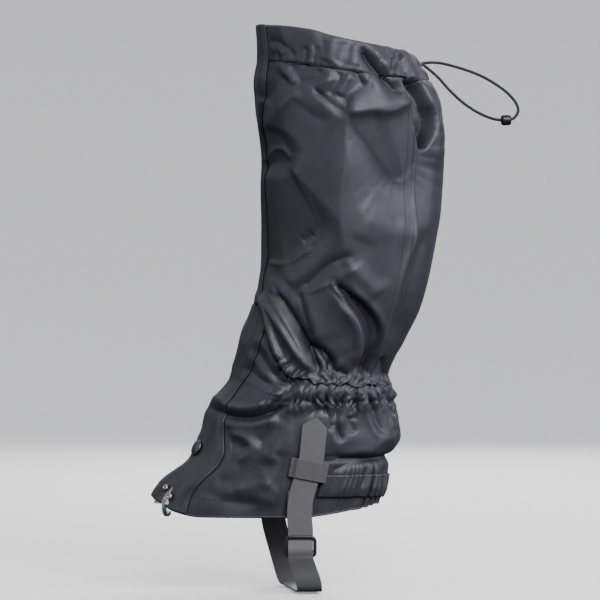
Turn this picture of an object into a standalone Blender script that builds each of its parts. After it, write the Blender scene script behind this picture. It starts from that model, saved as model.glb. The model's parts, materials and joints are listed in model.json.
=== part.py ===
"""One hiking gaiter for the left leg, standing in the shape that it has when it is worn.

The frame: X runs along the foot with the toe towards -X, -Y is the outer side of the leg, +Z is up.
The origin is on the ground under the axis of the leg. All lengths are in metres, all angles in degrees.

The sleeve is one smooth surface, given by a few level sections. A place on it is an angle round the leg
(0 at the front, 90 on the outer side, 180 at the rear, 270 on the inner side) and a height. Each piece of
cloth is a patch of that surface, lifted outwards by the layers that lie under it.
"""

import math
from collections import namedtuple

import bmesh
import bpy
from mathutils import Matrix, Vector

# ---- driving dimensions -------------------------------------------------------------------------

CLOTH = 0.0012          # coated nylon with its lining, as one layer
GAP = 0.0004            # between pieces that lie edge to edge
LAYER_GAP = 0.0009      # between layers that lie on each other
SEAM_GAP = 0.0014       # along the slanting ankle seam
TAPE = 0.0010           # hook and loop tape
FLAP_LIFT = CLOTH + TAPE * 2 + LAYER_GAP * 3

WEBBING_WIDTH = 0.025
WEBBING = 0.0015
CORD = 0.003
TUNNEL_DEPTH = 0.0045   # room for the drawcord between the two walls of the top hem
TUNNEL_WALL = 0.001

REAR_SEAM_OUTER = 138
REAR_SEAM_INNER = 222
HEEL_SEAM = 180

# Level sections of the sleeve: height, front, rear, half width outside, half width inside,
# where it is widest, and how much the width draws in towards the front (0 is an ellipse).
Section = namedtuple("Section", "height front rear outer inner widest taper")
SECTIONS = (
    Section(0.070, -0.171, 0.052, 0.047, 0.047, -0.045, 0.16),
    Section(0.090, -0.1645, 0.057, 0.048, 0.047, -0.043, 0.16),
    Section(0.103, -0.1555, 0.062, 0.049, 0.048, -0.040, 0.15),
    Section(0.130, -0.1255, 0.068, 0.050, 0.049, -0.030, 0.12),
    Section(0.155, -0.1135, 0.078, 0.051, 0.050, -0.020, 0.10),
    Section(0.182, -0.1055, 0.073, 0.050, 0.049, -0.012, 0.07),
    Section(0.211, -0.0840, 0.066, 0.049, 0.049, -0.006, 0.03),
    Section(0.250, -0.0738, 0.083, 0.054, 0.055, 0.004, 0.0),
    Section(0.283, -0.0615, 0.099, 0.059, 0.060, 0.014, 0.0),
    Section(0.320, -0.0555, 0.109, 0.063, 0.063, 0.022, 0.0),
    Section(0.384, -0.0545, 0.120, 0.068, 0.066, 0.028, 0.0),
    Section(0.430, -0.0545, 0.124, 0.070, 0.067, 0.030, 0.0),
    Section(0.480, -0.0585, 0.119, 0.069, 0.066, 0.026, 0.0),
    Section(0.506, -0.060, 0.1075, 0.065, 0.063, 0.020, 0.0),
    Section(0.534, -0.056, 0.0935, 0.061, 0.061, 0.016, 0.0),
    Section(0.570, -0.058, 0.0765, 0.060, 0.060, 0.012, 0.0),
)

# Edges that wander with height or angle, as (where, value) pairs with smooth runs between them.
FLAP_FREE_EDGE = (
    (0.070, 46), (0.099, 44.5), (0.118, 45.5), (0.134, 44.5), (0.155, 37), (0.172, 33.5), (0.188, 31.5),
    (0.203, 30), (0.214, 32), (0.232, 36), (0.250, 38), (0.273, 34), (0.290, 17), (0.320, 7), (0.400, 7),
    (0.440, 8), (0.470, 13), (0.490, 20), (0.510, 25), (0.570, 23),
)
UNDERLAP_EDGE = (
    (0.070, 0), (0.244, 0), (0.273, -4), (0.300, -14), (0.320, -20), (0.400, -20), (0.440, -19),
    (0.470, -13), (0.490, -8), (0.520, -4), (0.570, 0),
)
BOTTOM_EDGE = ((0, 0.092), (20, 0.088), (36, 0.081), (55, 0.076), (100, 0.076), (140, 0.083), (180, 0.090))
ANKLE_SEAM = ((0, 0.288), (18, 0.287), (42, 0.262), (58, 0.236), (74, 0.216), (110, 0.208), (180, 0.207))
HEM_STITCH = ((0, 0.527), (50, 0.524), (90, 0.516), (130, 0.509), (180, 0.506))
TOP_EDGE = ((0, 0.564), (40, 0.561), (70, 0.556), (90, 0.549), (125, 0.541), (160, 0.536), (180, 0.534))

SEAM_ANGLE = -40        # where the storm flap is sewn to the inner side
SEAM_MARGIN = 8         # how far it laps over the inner panels there

PARTS = "gaiter"
CUTTERS = "gaiter_cutters"

# ---- colours: base colour, roughness, metallic --------------------------------------------------

FABRIC = ("coated_nylon", (0.040, 0.041, 0.052), 0.55, 0.0)
FLAP_FABRIC = ("flap_nylon", (0.036, 0.037, 0.047), 0.55, 0.0)
ELASTIC = ("knitted_elastic", (0.02, 0.02, 0.022), 0.9, 0.0)
STRAP = ("grey_webbing", (0.115, 0.117, 0.125), 0.7, 0.0)
HOOK_LOOP = ("hook_and_loop", (0.015, 0.015, 0.016), 0.95, 0.0)
BLACK_CORD = ("black_cord", (0.012, 0.012, 0.014), 0.6, 0.0)
BLACK_PLASTIC = ("black_plastic", (0.014, 0.014, 0.016), 0.35, 0.0)
DARK_METAL = ("dark_metal", (0.16, 0.15, 0.14), 0.35, 1.0)
BRASS = ("aged_brass", (0.36, 0.27, 0.17), 0.35, 1.0)
STEEL = ("spring_steel", (0.45, 0.45, 0.46), 0.3, 1.0)


# ---- the sleeve's surface -----------------------------------------------------------------------

def smooth_between(pairs, where):
    """The value at a place, along a curve through the pairs that never overshoots them."""
    if where <= pairs[0][0]:
        return pairs[0][1]
    if where >= pairs[-1][0]:
        return pairs[-1][1]
    i = next(i for i in range(len(pairs) - 1) if where <= pairs[i + 1][0])

    def rise(k):
        return (pairs[k + 1][1] - pairs[k][1]) / (pairs[k + 1][0] - pairs[k][0])

    def slope(k):
        if k == 0 or k == len(pairs) - 1:
            return 0.0
        before, after = rise(k - 1), rise(k)
        return 0.0 if before * after <= 0 else 2 * before * after / (before + after)

    span = pairs[i + 1][0] - pairs[i][0]
    t = (where - pairs[i][0]) / span
    start = pairs[i][1] * (2 * t**3 - 3 * t**2 + 1) + slope(i) * span * (t**3 - 2 * t**2 + t)
    end = pairs[i + 1][1] * (3 * t**2 - 2 * t**3) + slope(i + 1) * span * (t**3 - t**2)
    return start + end


SECTION_CURVES = {
    field: tuple((s.height, getattr(s, field)) for s in SECTIONS)
    for field in Section._fields[1:]
}


def edge(pairs, angle):
    """An edge's height at an angle. The two sides of the leg are alike."""
    return smooth_between(pairs, abs((angle + 180) % 360 - 180))


def on_surface(angle, height):
    at = {field: smooth_between(pairs, height) for field, pairs in SECTION_CURVES.items()}
    turn = math.radians(angle)
    forward, sideways = math.cos(turn), math.sin(turn)
    front_half = forward > 0
    reach = at["widest"] - at["front"] if front_half else at["rear"] - at["widest"]
    half = at["outer"] if sideways > 0 else at["inner"]
    drawn_in = 1 - at["taper"] * forward if front_half else 1.0
    return Vector((at["widest"] - reach * forward, -half * sideways * drawn_in, height))


def outward(angle, height):
    step_angle, step_height = 1.5, 0.004
    round_leg = on_surface(angle + step_angle, height) - on_surface(angle - step_angle, height)
    upward = on_surface(angle, height + step_height) - on_surface(angle, height - step_height)
    return round_leg.cross(upward).normalized()


def sleeve(angle, height, lift=0.0):
    return on_surface(angle, height) + outward(angle, height) * lift


def angle_where(x, height, low=0.0, high=90.0):
    """The angle on the outer side at which the surface passes this x."""
    for _ in range(40):
        middle = (low + high) / 2
        if on_surface(middle, height).x < x:
            low = middle
        else:
            high = middle
    return (low + high) / 2


# ---- making objects -----------------------------------------------------------------------------

def clear_scene():
    for obj in list(bpy.data.objects):
        bpy.data.objects.remove(obj)


def collection(name):
    made = bpy.data.collections.new(name)
    bpy.context.scene.collection.children.link(made)
    return made


def material(look):
    name, colour, roughness, metallic = look
    made = bpy.data.materials.get(name)
    if made is None:
        made = bpy.data.materials.new(name)
        made.use_nodes = True
        shader = made.node_tree.nodes["Principled BSDF"]
        shader.inputs["Base Color"].default_value = (*colour, 1.0)
        shader.inputs["Roughness"].default_value = roughness
        shader.inputs["Metallic"].default_value = metallic
        made.diffuse_color = (*colour, 1.0)
    return made


def node(name, mesh, look):
    """A visible sub-part, linked to the parts' collection."""
    obj = bpy.data.objects.new(name, mesh)
    obj.data.materials.append(material(look))
    bpy.data.collections[PARTS].objects.link(obj)
    return obj


def mesh_from(name, bm):
    bmesh.ops.recalc_face_normals(bm, faces=bm.faces)
    mesh = bpy.data.meshes.new(name)
    bm.to_mesh(mesh)
    bm.free()
    return mesh


def solidify(obj, thickness, side=1.0):
    shell = obj.modifiers.new("thickness", "SOLIDIFY")
    shell.thickness = thickness
    shell.offset = side
    shell.use_even_offset = True


def grid_mesh(name, columns, rows, place):
    """A grid whose (across, up) runs from 0 to 1 each way, with every point put where place says."""
    bm = bmesh.new()
    bmesh.ops.create_grid(bm, x_segments=columns, y_segments=rows, size=0.5)
    for vert in bm.verts:
        vert.co = place(vert.co.x + 0.5, vert.co.y + 0.5)
    mesh = bpy.data.meshes.new(name)
    bm.to_mesh(mesh)
    bm.free()
    return mesh


def patch(name, look, sides, ends, lift, thickness, cells):
    """A piece of cloth on the sleeve. sides and ends give its edges, and lift its distance outwards."""
    start, end = sides
    bottom, top = ends

    def place(across, up):
        middle = (start(0.5 * (bottom(90) + top(90))) + end(0.5 * (bottom(90) + top(90)))) / 2
        angle = middle
        for _ in range(6):
            height = bottom(angle) + (top(angle) - bottom(angle)) * up
            angle = start(height) + (end(height) - start(height)) * across
        return sleeve(angle, height, lift(angle, height))

    obj = node(name, grid_mesh(name, *cells, place), look)
    solidify(obj, thickness)
    return obj


def always(value):
    return lambda *_: value


def edge_of(pairs, shift=0.0):
    return lambda angle: edge(pairs, angle) + shift


def angle_of(pairs, shift=0.0):
    return lambda height: smooth_between(pairs, height) + shift


def strip(name, look, centre, across, width, thickness):
    """A strap: a flat strip along the centre line, across gives its width's direction at each point."""
    count = len(centre) - 1

    def place(side, along):
        i = round(along * count)
        return centre[i] + across[i].normalized() * (side - 0.5) * width[i]

    obj = node(name, grid_mesh(name, 1, count, place), look)
    solidify(obj, thickness, side=0.0)
    return obj


def through(points, spacing):
    """A smooth line through the points, with a point about every spacing."""
    points = [Vector(p) for p in points]
    ends = [2 * points[0] - points[1], *points, 2 * points[-1] - points[-2]]
    line = []
    for before, a, b, after in zip(ends, ends[1:], ends[2:], ends[3:]):
        steps = max(1, round((b - a).length / spacing))
        for k in range(steps):
            t = k / steps
            line.append(
                0.5 * (2 * a + (b - before) * t + (2 * before - 5 * a + 4 * b - after) * t**2
                       + (3 * a - before - 3 * b + after) * t**3)
            )
    return [*line, points[-1]]


def tube(name, look, line, diameter):
    curve = bpy.data.curves.new(name, "CURVE")
    curve.dimensions = "3D"
    curve.bevel_depth = diameter / 2
    curve.bevel_resolution = 2
    curve.use_fill_caps = True
    spline = curve.splines.new("POLY")
    spline.points.add(len(line) - 1)
    for point, place in zip(spline.points, line):
        point.co = (*place, 1.0)
    return node(name, curve, look)


def turned(name, look, profile, centre, axis, steps=20):
    """A solid of revolution from (radius, height) pairs, from the bottom of the axis up its outside."""
    bm = bmesh.new()
    verts = [bm.verts.new((radius, 0, height)) for radius, height in profile]
    edges = [bm.edges.new(pair) for pair in zip(verts, verts[1:])]
    if profile[0][0] > 1e-6:
        edges.append(bm.edges.new((verts[-1], verts[0])))
    bmesh.ops.spin(
        bm, geom=verts + edges, cent=(0, 0, 0), axis=(0, 0, 1), angle=math.tau, steps=steps,
        use_merge=True, use_duplicate=False,
    )
    bmesh.ops.remove_doubles(bm, verts=bm.verts, dist=1e-6)
    obj = node(name, mesh_from(name, bm), look)
    obj.data.shade_smooth()
    obj.data.set_sharp_from_angle(angle=math.radians(35))
    obj.matrix_world = pose(centre, axis)
    return obj


def pose(centre, axis):
    """A matrix that puts +Z on the axis and the origin at the centre."""
    return Matrix.Translation(centre) @ axis.to_track_quat("Z", "Y").to_matrix().to_4x4()


def cutter(name, mesh, matrix):
    obj = bpy.data.objects.new(name, mesh)
    obj.matrix_world = matrix
    obj.hide_render = True
    obj.display_type = "WIRE"
    bpy.data.collections[CUTTERS].objects.link(obj)
    return obj


def rod(name, radius, length, centre, axis, segments=20):
    bm = bmesh.new()
    bmesh.ops.create_cone(
        bm, cap_ends=True, segments=segments, radius1=radius, radius2=radius, depth=length
    )
    return cutter(name, mesh_from(name, bm), pose(centre, axis))


def slot(name, size, matrix):
    """A plain box, to cut a slot."""
    bm = bmesh.new()
    bmesh.ops.create_cube(bm, size=1.0)
    bmesh.ops.scale(bm, vec=size, verts=bm.verts)
    return cutter(name, mesh_from(name, bm), matrix)


def combine(obj, other, operation):
    step = obj.modifiers.new(operation.lower(), "BOOLEAN")
    step.operation = operation
    step.object = other
    step.solver = "EXACT"


# ---- where the storm flap turns -----------------------------------------------------------------

HINGE_OUT = 0.0045
UPPER_HINGE_ENDS = (0.291, 0.562)
LOWER_HINGE_ENDS = (0.084, 0.285)
UPPER_HINGE = tuple(sleeve(SEAM_ANGLE, z, HINGE_OUT) for z in UPPER_HINGE_ENDS)
LOWER_HINGE = tuple(sleeve(SEAM_ANGLE, z, HINGE_OUT) for z in LOWER_HINGE_ENDS)


def hinge_point(hinge, height):
    low, high = hinge
    return low + (high - low) * ((height - low.z) / (high.z - low.z))


def sewn_edge(hinge):
    """The angle of the flap's sewn edge, kept 0.5 mm on the free side of the straight hinge line."""
    aside = 0.0005

    def angle_at(height):
        height = min(max(height, hinge[0].z), hinge[1].z)
        line = hinge_point(hinge, height)
        facing = outward(SEAM_ANGLE, height)
        towards_free_edge = Vector((0, 0, 1)).cross(facing).normalized()
        low, high = SEAM_ANGLE - 25.0, SEAM_ANGLE + 25.0
        for _ in range(30):
            middle = (low + high) / 2
            if (on_surface(middle, height) - line).dot(towards_free_edge) < aside:
                low = middle
            else:
                high = middle
        return (low + high) / 2

    return angle_at


UPPER_SEWN = sewn_edge(UPPER_HINGE)
LOWER_SEWN = sewn_edge(LOWER_HINGE)


def ramp(low, high, value):
    t = min(1.0, max(0.0, (value - low) / (high - low)))
    return t * t * (3 - 2 * t)


def flap_lift(sewn):
    """Low over the inner panel, and above the hook and loop tape at its free side."""
    def lift(angle, height):
        seam = sewn(height)
        low = CLOTH + LAYER_GAP
        return low + (FLAP_LIFT - low) * ramp(seam + SEAM_MARGIN, seam + SEAM_MARGIN + 9, angle)
    return lift


# ---- the sleeve's cloth -------------------------------------------------------------------------

def inner_edge(sewn):
    return lambda height: 360 + sewn(height) + SEAM_MARGIN


def calf_panels():
    ends = (edge_of(ANKLE_SEAM, SEAM_GAP), edge_of(HEM_STITCH, -GAP))
    inner = inner_edge(UPPER_SEWN)
    patch("calf_panel_outer", FABRIC, (angle_of(UNDERLAP_EDGE), always(REAR_SEAM_OUTER)), ends,
          always(0), CLOTH, (18, 17))
    patch("calf_panel_rear", FABRIC, (always(REAR_SEAM_OUTER + 0.5), always(REAR_SEAM_INNER - 0.5)), ends,
          always(0), CLOTH, (10, 17))
    patch("calf_panel_inner", FABRIC, (always(REAR_SEAM_INNER), inner), ends, always(0), CLOTH, (13, 17))


def foot_panels():
    ends = (edge_of(BOTTOM_EDGE), edge_of(ANKLE_SEAM, -GAP))
    outer = patch("foot_panel_outer", FABRIC, (angle_of(UNDERLAP_EDGE), always(HEEL_SEAM - 0.3)), ends,
                  always(0), CLOTH, (22, 14))
    patch("foot_panel_inner", FABRIC, (always(HEEL_SEAM + 0.3), inner_edge(LOWER_SEWN)), ends,
          always(0), CLOTH, (18, 14))
    return outer


def bottom_hem():
    """The turned-up allowance inside the bottom edge, stopping short of the heel's elastic."""
    ends = (edge_of(BOTTOM_EDGE, 0.0005), edge_of(BOTTOM_EDGE, 0.0150))
    depth = -CLOTH - LAYER_GAP * 1.5
    patch("bottom_hem_outer", FABRIC, (always(4), always(118)), ends, always(depth), CLOTH, (15, 1))
    patch("bottom_hem_inner", FABRIC, (always(242), always(316)), ends, always(depth), CLOTH, (10, 1))


def elastics():
    depth = -CLOTH - LAYER_GAP * 1.5
    ankle = (always(0.189), always(0.205))
    patch("ankle_elastic", ELASTIC, (always(68), always(292)), ankle, always(depth), CLOTH, (26, 1))
    heel = (edge_of(BOTTOM_EDGE, 0.004), edge_of(BOTTOM_EDGE, 0.022))
    patch("heel_elastic", ELASTIC, (always(120), always(240)), heel, always(depth), CLOTH, (14, 1))


def heel_band():
    """A second layer of cloth round the heel, outside the sleeve, that holds the heel's gathers."""
    ends = (always(0.0985), always(0.116))
    patch("heel_band", FABRIC, (always(112), always(248)), ends, always(CLOTH + LAYER_GAP), CLOTH, (16, 1))


# ---- the storm flap and its closure -------------------------------------------------------------

FLAP_NOTCH_UPPER = (0.291, 0.302)
FLAP_NOTCH_LOWER = (0.2855, 0.271)


def notch(heights):
    """The cross cut at the ankle, from its height at the sewn edge to its height at the free edge."""
    at_seam, at_free = heights
    return lambda angle: at_seam + (at_free - at_seam) * ramp(SEAM_ANGLE, 30, angle)


def storm_flap():
    upper = patch("storm_flap_upper", FLAP_FABRIC, (UPPER_SEWN, angle_of(FLAP_FREE_EDGE)),
                  (notch(FLAP_NOTCH_UPPER), edge_of(TOP_EDGE, 0.001)), flap_lift(UPPER_SEWN), CLOTH, (8, 18))
    lower = patch("storm_flap_lower", FLAP_FABRIC, (LOWER_SEWN, angle_of(FLAP_FREE_EDGE)),
                  (edge_of(BOTTOM_EDGE), notch(FLAP_NOTCH_LOWER)), flap_lift(LOWER_SEWN), CLOTH, (13, 15))
    return upper, lower


def closure_tapes():
    """Hook tape on the panels' front edge, and loop tape on the flap's inner face over it."""
    sections = (
        ("upper", (0.308, 0.517), 4, (2, 11)),
        ("lower", (0.162, 0.262), 4, (2, 8)),
    )
    hook = CLOTH + LAYER_GAP
    loop = hook + TAPE + LAYER_GAP
    for name, (low, high), inset, cells in sections:
        ends = (always(low), always(high))
        sides = (angle_of(FLAP_FREE_EDGE, -inset - 18), angle_of(FLAP_FREE_EDGE, -inset))
        patch(f"hook_tape_{name}", HOOK_LOOP, sides, ends, always(hook), TAPE, cells)
        patch(f"loop_tape_{name}", HOOK_LOOP, sides, ends, always(loop), TAPE, cells)


STUD_AT = (-0.117, 0.140)
CAP_RADIUS = 0.0085
SHANK = 0.0017


def press_stud(flap, panel):
    """A cap and socket on the flap, and a stud and post on the panel under it."""
    angle = angle_where(*STUD_AT)
    facing = outward(angle, STUD_AT[1])
    base = on_surface(angle, STUD_AT[1])
    hollow = SHANK + 0.0004
    on_flap = flap_lift(LOWER_SEWN)(angle, STUD_AT[1])
    top = on_flap + CLOTH + 0.0008
    socket_top = on_flap - 0.0005
    plate = socket_top - 0.0007
    stud_low = CLOTH + 0.0005
    flange_top = stud_low + 0.0007
    shank_end = plate + 0.0001
    cap = [(0, shank_end), (SHANK, shank_end), (SHANK, top), (CAP_RADIUS - 0.0004, top),
           (CAP_RADIUS, top + 0.0005), (CAP_RADIUS - 0.0008, top + 0.0014),
           (CAP_RADIUS * 0.55, top + 0.0023), (0, top + 0.0026)]
    turned("stud_cap", DARK_METAL, cap, base, facing)
    socket = [(0.0030, flange_top + 0.0003), (0.0048, flange_top + 0.0003), (0.0048, socket_top),
              (hollow, socket_top), (hollow, plate), (0.0030, plate)]
    turned("stud_socket", DARK_METAL, socket, base, facing)
    stud = [(0.0010, stud_low), (0.0046, stud_low), (0.0046, flange_top), (0.0020, flange_top),
            (0.0023, plate - 0.0008), (0.0019, plate - 0.0003), (0.0010, plate - 0.0003)]
    turned("stud_ball", DARK_METAL, stud, base, facing)
    post = [(0, -0.0020), (0.0045, -0.0020), (0.0045, -0.0012), (0.0007, -0.0010),
            (0.0007, stud_low + 0.0008), (0, stud_low + 0.0008)]
    turned("stud_post", DARK_METAL, post, base, facing)
    combine(flap, rod("cut_cap_shank", hollow, 0.012, base + facing * on_flap, facing), "DIFFERENCE")
    combine(panel, rod("cut_post_shank", 0.0013, 0.012, base, facing), "DIFFERENCE")


RIVETS_AT = ((-0.1495, 0.1005), (-0.1462, 0.0935))
RIVET_RADIUS = 0.0035
HOOK_PLATE = 0.0009


def lace_hook(flap):
    """A plate under the flap's tip with a hook for the boot's lace, held by two tubular rivets."""
    depth = FLAP_LIFT - 0.0028
    places = [(angle_where(x, z), z) for x, z in RIVETS_AT]
    middle_angle = sum(a for a, _ in places) / 2
    plate = patch("lace_hook", STEEL, (always(middle_angle - 13), always(middle_angle + 13)),
                  (always(0.0865), always(0.1050)), always(depth), HOOK_PLATE, (6, 3))
    root = sleeve(middle_angle, 0.0885, depth + HOOK_PLATE / 2)
    inward = -outward(middle_angle, 0.0885)
    inward.z = 0
    inward.normalize()
    down = Vector((0, 0, -1))
    curl = [root - down * 0.003, root + down * 0.006, root + down * 0.0120 + inward * 0.0015,
            root + down * 0.0138 + inward * 0.0042, root + down * 0.0124 + inward * 0.0070,
            root + down * 0.0095 + inward * 0.0076]
    line = through(curl, 0.0025)
    sideways = down.cross(inward)
    hook = strip("cut_hook", STEEL, line, [sideways] * len(line), [0.005] * len(line), HOOK_PLATE + 0.0004)
    bpy.data.collections[PARTS].objects.unlink(hook)
    bpy.data.collections[CUTTERS].objects.link(hook)
    hook.hide_render = True
    hook.display_type = "WIRE"
    combine(plate, hook, "UNION")
    head = FLAP_LIFT + CLOTH + 0.0006
    tail = depth - 0.0004
    profile = [(0, tail - 0.0008), (0.0026, tail - 0.0008), (0.0026, tail), (0.0012, tail),
               (0.0012, head), (RIVET_RADIUS - 0.0003, head), (RIVET_RADIUS, head + 0.0004),
               (RIVET_RADIUS - 0.0009, head + 0.0011), (0.0014, head + 0.0013),
               (0.0011, head + 0.0007), (0, head + 0.0006)]
    for name, (angle, height) in zip(("rivet_front", "rivet_rear"), places):
        base, facing = on_surface(angle, height), outward(angle, height)
        turned(name, BRASS, profile, base, facing, steps=16)
        hole = rod(f"cut_{name}", 0.0016, 0.012, base + facing * FLAP_LIFT, facing, segments=16)
        combine(flap, hole, "DIFFERENCE")
        combine(plate, hole, "DIFFERENCE")


# ---- the top hem, its drawcord and the cord lock ------------------------------------------------

EXIT_ANGLE = 214
EXIT_HEIGHT = 0.522
STRAND_APART = 0.0036
GROMMET_HOLE = 0.0044
CORD_DEPTH = -TUNNEL_DEPTH / 2


def hem_profile(angle):
    """The hem's cross-section at an angle, as (lift, height): up the outer wall and down the inner one."""
    low, high = edge(HEM_STITCH, angle), edge(TOP_EDGE, angle)
    middle = (low + high) / 2
    out, into = CLOTH, -TUNNEL_DEPTH - TUNNEL_WALL
    outside = [(out, low), (out, middle), (out, high - 0.002), (out - 0.0012, high)]
    inside = [(into + 0.0012, high), (into, high - 0.002), (into, middle), (into, low + 0.006),
              (-0.0008, low)]
    cavity = [(-0.0002, low + 0.0020), (into + 0.001, low + 0.0080), (into + 0.001, middle),
              (into + 0.001, high - 0.0025), (-0.0002, high - 0.0025), (-0.0002, middle)]
    return outside + inside, cavity


def top_hem():
    """A tunnel of cloth, open at both ends, with a hole at the rear where the drawcord comes out."""
    first, last = smooth_between(UNDERLAP_EDGE, 0.545) + 2, inner_edge(UPPER_SEWN)(0.545)
    count = 34
    bm = bmesh.new()
    rings = []
    for i in range(count + 1):
        angle = first + (last - first) * i / count
        outline, cavity = hem_profile(angle)
        rings.append([
            [bm.verts.new(sleeve(angle, height, lift)) for lift, height in loop]
            for loop in (outline, cavity)
        ])
    for before, after in zip(rings, rings[1:]):
        for a, b in zip(before, after):
            for k in range(len(a)):
                n = (k + 1) % len(a)
                bm.faces.new((a[k], a[n], b[n], b[k]))
    for outline, cavity in (rings[0], rings[-1]):
        loops = [bm.edges.get((loop[k], loop[(k + 1) % len(loop)]))
                 for loop in (outline, cavity) for k in range(len(loop))]
        bmesh.ops.triangle_fill(bm, edges=loops, use_beauty=True, use_dissolve=False)
    return node("top_hem", mesh_from("top_hem", bm), FABRIC)


def cord_frame():
    """The exit's middle on the sleeve, and the directions out of it, towards the inner side, and up it."""
    facing = outward(EXIT_ANGLE, EXIT_HEIGHT)
    aside = Vector((0, 0, 1)).cross(facing).normalized()
    return on_surface(EXIT_ANGLE, EXIT_HEIGHT), facing, aside, facing.cross(aside)


def grommet(hem):
    base, facing, _, _ = cord_frame()
    flange = CLOTH + 0.0004
    profile = [(GROMMET_HOLE, -0.0004), (GROMMET_HOLE + 0.0005, -0.0004), (GROMMET_HOLE + 0.0005, flange),
               (0.0067, flange), (0.0067, flange + 0.0004), (0.0061, flange + 0.0007),
               (GROMMET_HOLE, flange + 0.0007)]
    turned("cord_grommet", DARK_METAL, profile, base, facing, steps=24)
    hole = rod("cut_grommet", GROMMET_HOLE + 0.0008, 0.0044, base + facing * 0.0012, facing, segments=24)
    combine(hem, hole, "DIFFERENCE")


LOCK_RADIUS = 0.0066
LOCK_BORE = 0.0053
LOCK_OUT = CLOTH + 0.0015 + LOCK_RADIUS
LOCK_LOW = -0.0135      # heights in the lock are measured from the strands
LOCK_HIGH = 0.0065
PLUNGER_RADIUS = 0.0049
PLUNGER_TRAVEL = 0.003
PLUNGER_LOW = -0.0048
PLUNGER_HIGH = 0.0105
SLOT_WIDTH = STRAND_APART + CORD + 0.0010
LOCK_SLIDE = 0.006      # how far the strands run straight beyond the lock


def cord_lock():
    base, facing, aside, upright = cord_frame()
    centre = base + facing * LOCK_OUT
    barrel = [(0, LOCK_LOW), (LOCK_RADIUS - 0.001, LOCK_LOW), (LOCK_RADIUS, LOCK_LOW + 0.001),
              (LOCK_RADIUS, LOCK_HIGH - 0.001), (LOCK_RADIUS - 0.0006, LOCK_HIGH), (LOCK_BORE, LOCK_HIGH),
              (LOCK_BORE, LOCK_LOW + 0.0015), (0, LOCK_LOW + 0.0015)]
    body = turned("cord_lock_barrel", BLACK_PLASTIC, barrel, centre, upright, steps=24)
    button = [(0, PLUNGER_LOW), (PLUNGER_RADIUS, PLUNGER_LOW), (PLUNGER_RADIUS, PLUNGER_HIGH - 0.0015),
              (PLUNGER_RADIUS - 0.0012, PLUNGER_HIGH - 0.0003), (0, PLUNGER_HIGH)]
    plunger = turned("cord_lock_plunger", BLACK_PLASTIC, button, centre, upright, steps=24)
    turn = Matrix((aside, -facing, upright)).transposed().to_4x4()
    window = CORD + 0.0008
    cut = slot("cut_lock_slot", (SLOT_WIDTH, 0.03, window), Matrix.Translation(centre) @ turn)
    combine(body, cut, "DIFFERENCE")
    tall = window + PLUNGER_TRAVEL
    lifted = centre + upright * (PLUNGER_TRAVEL / 2)
    combine(plunger, slot("cut_plunger_slot", (SLOT_WIDTH, 0.03, tall), Matrix.Translation(lifted) @ turn),
            "DIFFERENCE")
    lock_spring(centre, aside, facing, upright)


def lock_spring(centre, aside, facing, upright):
    low, high = LOCK_LOW + 0.0015 + 0.0007, PLUNGER_LOW - 0.0007
    turns, points_per_turn, radius = 3.5, 10, 0.0033
    count = round(turns * points_per_turn)
    line = []
    for i in range(count + 1):
        turn = math.tau * i / points_per_turn
        rise = low + (high - low) * i / count
        across = aside * math.cos(turn) + facing * math.sin(turn)
        line.append(centre + across * radius + upright * rise)
    tube("cord_lock_spring", STEEL, line, 0.0007)


# The free loop's route, from where it leaves the lock round to where it comes back, by hand.
LOOP_OUT = (
    (0.1190, 0.0520, 0.5312), (0.143, 0.0515, 0.5255), (0.166, 0.0490, 0.5165), (0.186, 0.0450, 0.5035),
    (0.1975, 0.0412, 0.4915), (0.2010, 0.0390, 0.4815), (0.1975, 0.0382, 0.4752),
)
BEAD_AT = (0.1885, 0.0380, 0.4722)
BEAD_AXIS = (-0.985, 0.0, -0.035)
LOOP_BACK = (
    (0.174, 0.0386, 0.4738), (0.159, 0.0402, 0.4805), (0.144, 0.0425, 0.4910), (0.131, 0.0450, 0.5035),
    (0.1210, 0.0468, 0.5150), (0.1110, 0.0480, 0.5240),
)


def strand_points(side, facing, aside, base):
    """Where one strand runs straight through the grommet and the lock, from the hem outwards."""
    shift = aside * (side * STRAND_APART / 2)
    beyond = LOCK_OUT + LOCK_RADIUS
    outs = (-0.0004, 0.0012, 0.0045, LOCK_OUT, beyond, beyond + LOCK_SLIDE + 0.001)
    return [base + shift + facing * out for out in outs]


def hem_run(side, start_out):
    """The drawcord inside the hem on one side, from the exit to the hem's front end."""
    last = 36 if side < 0 else inner_edge(UPPER_SEWN)(0.545) - 6
    step = -5.5 if side < 0 else 5.5
    angles = [EXIT_ANGLE + side * start_out]
    while (last - angles[-1] - step) * side > 0:
        angles.append(angles[-1] + step)
    return [sleeve(a, tunnel_height(a), CORD_DEPTH) for a in angles]


def tunnel_height(angle):
    """The cord's height in the hem: level with the exit there, and 9 mm under the edge elsewhere."""
    away = ramp(8, 60, abs(angle - EXIT_ANGLE))
    return EXIT_HEIGHT + (edge(TOP_EDGE, angle) - 0.009 - EXIT_HEIGHT) * away


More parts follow.
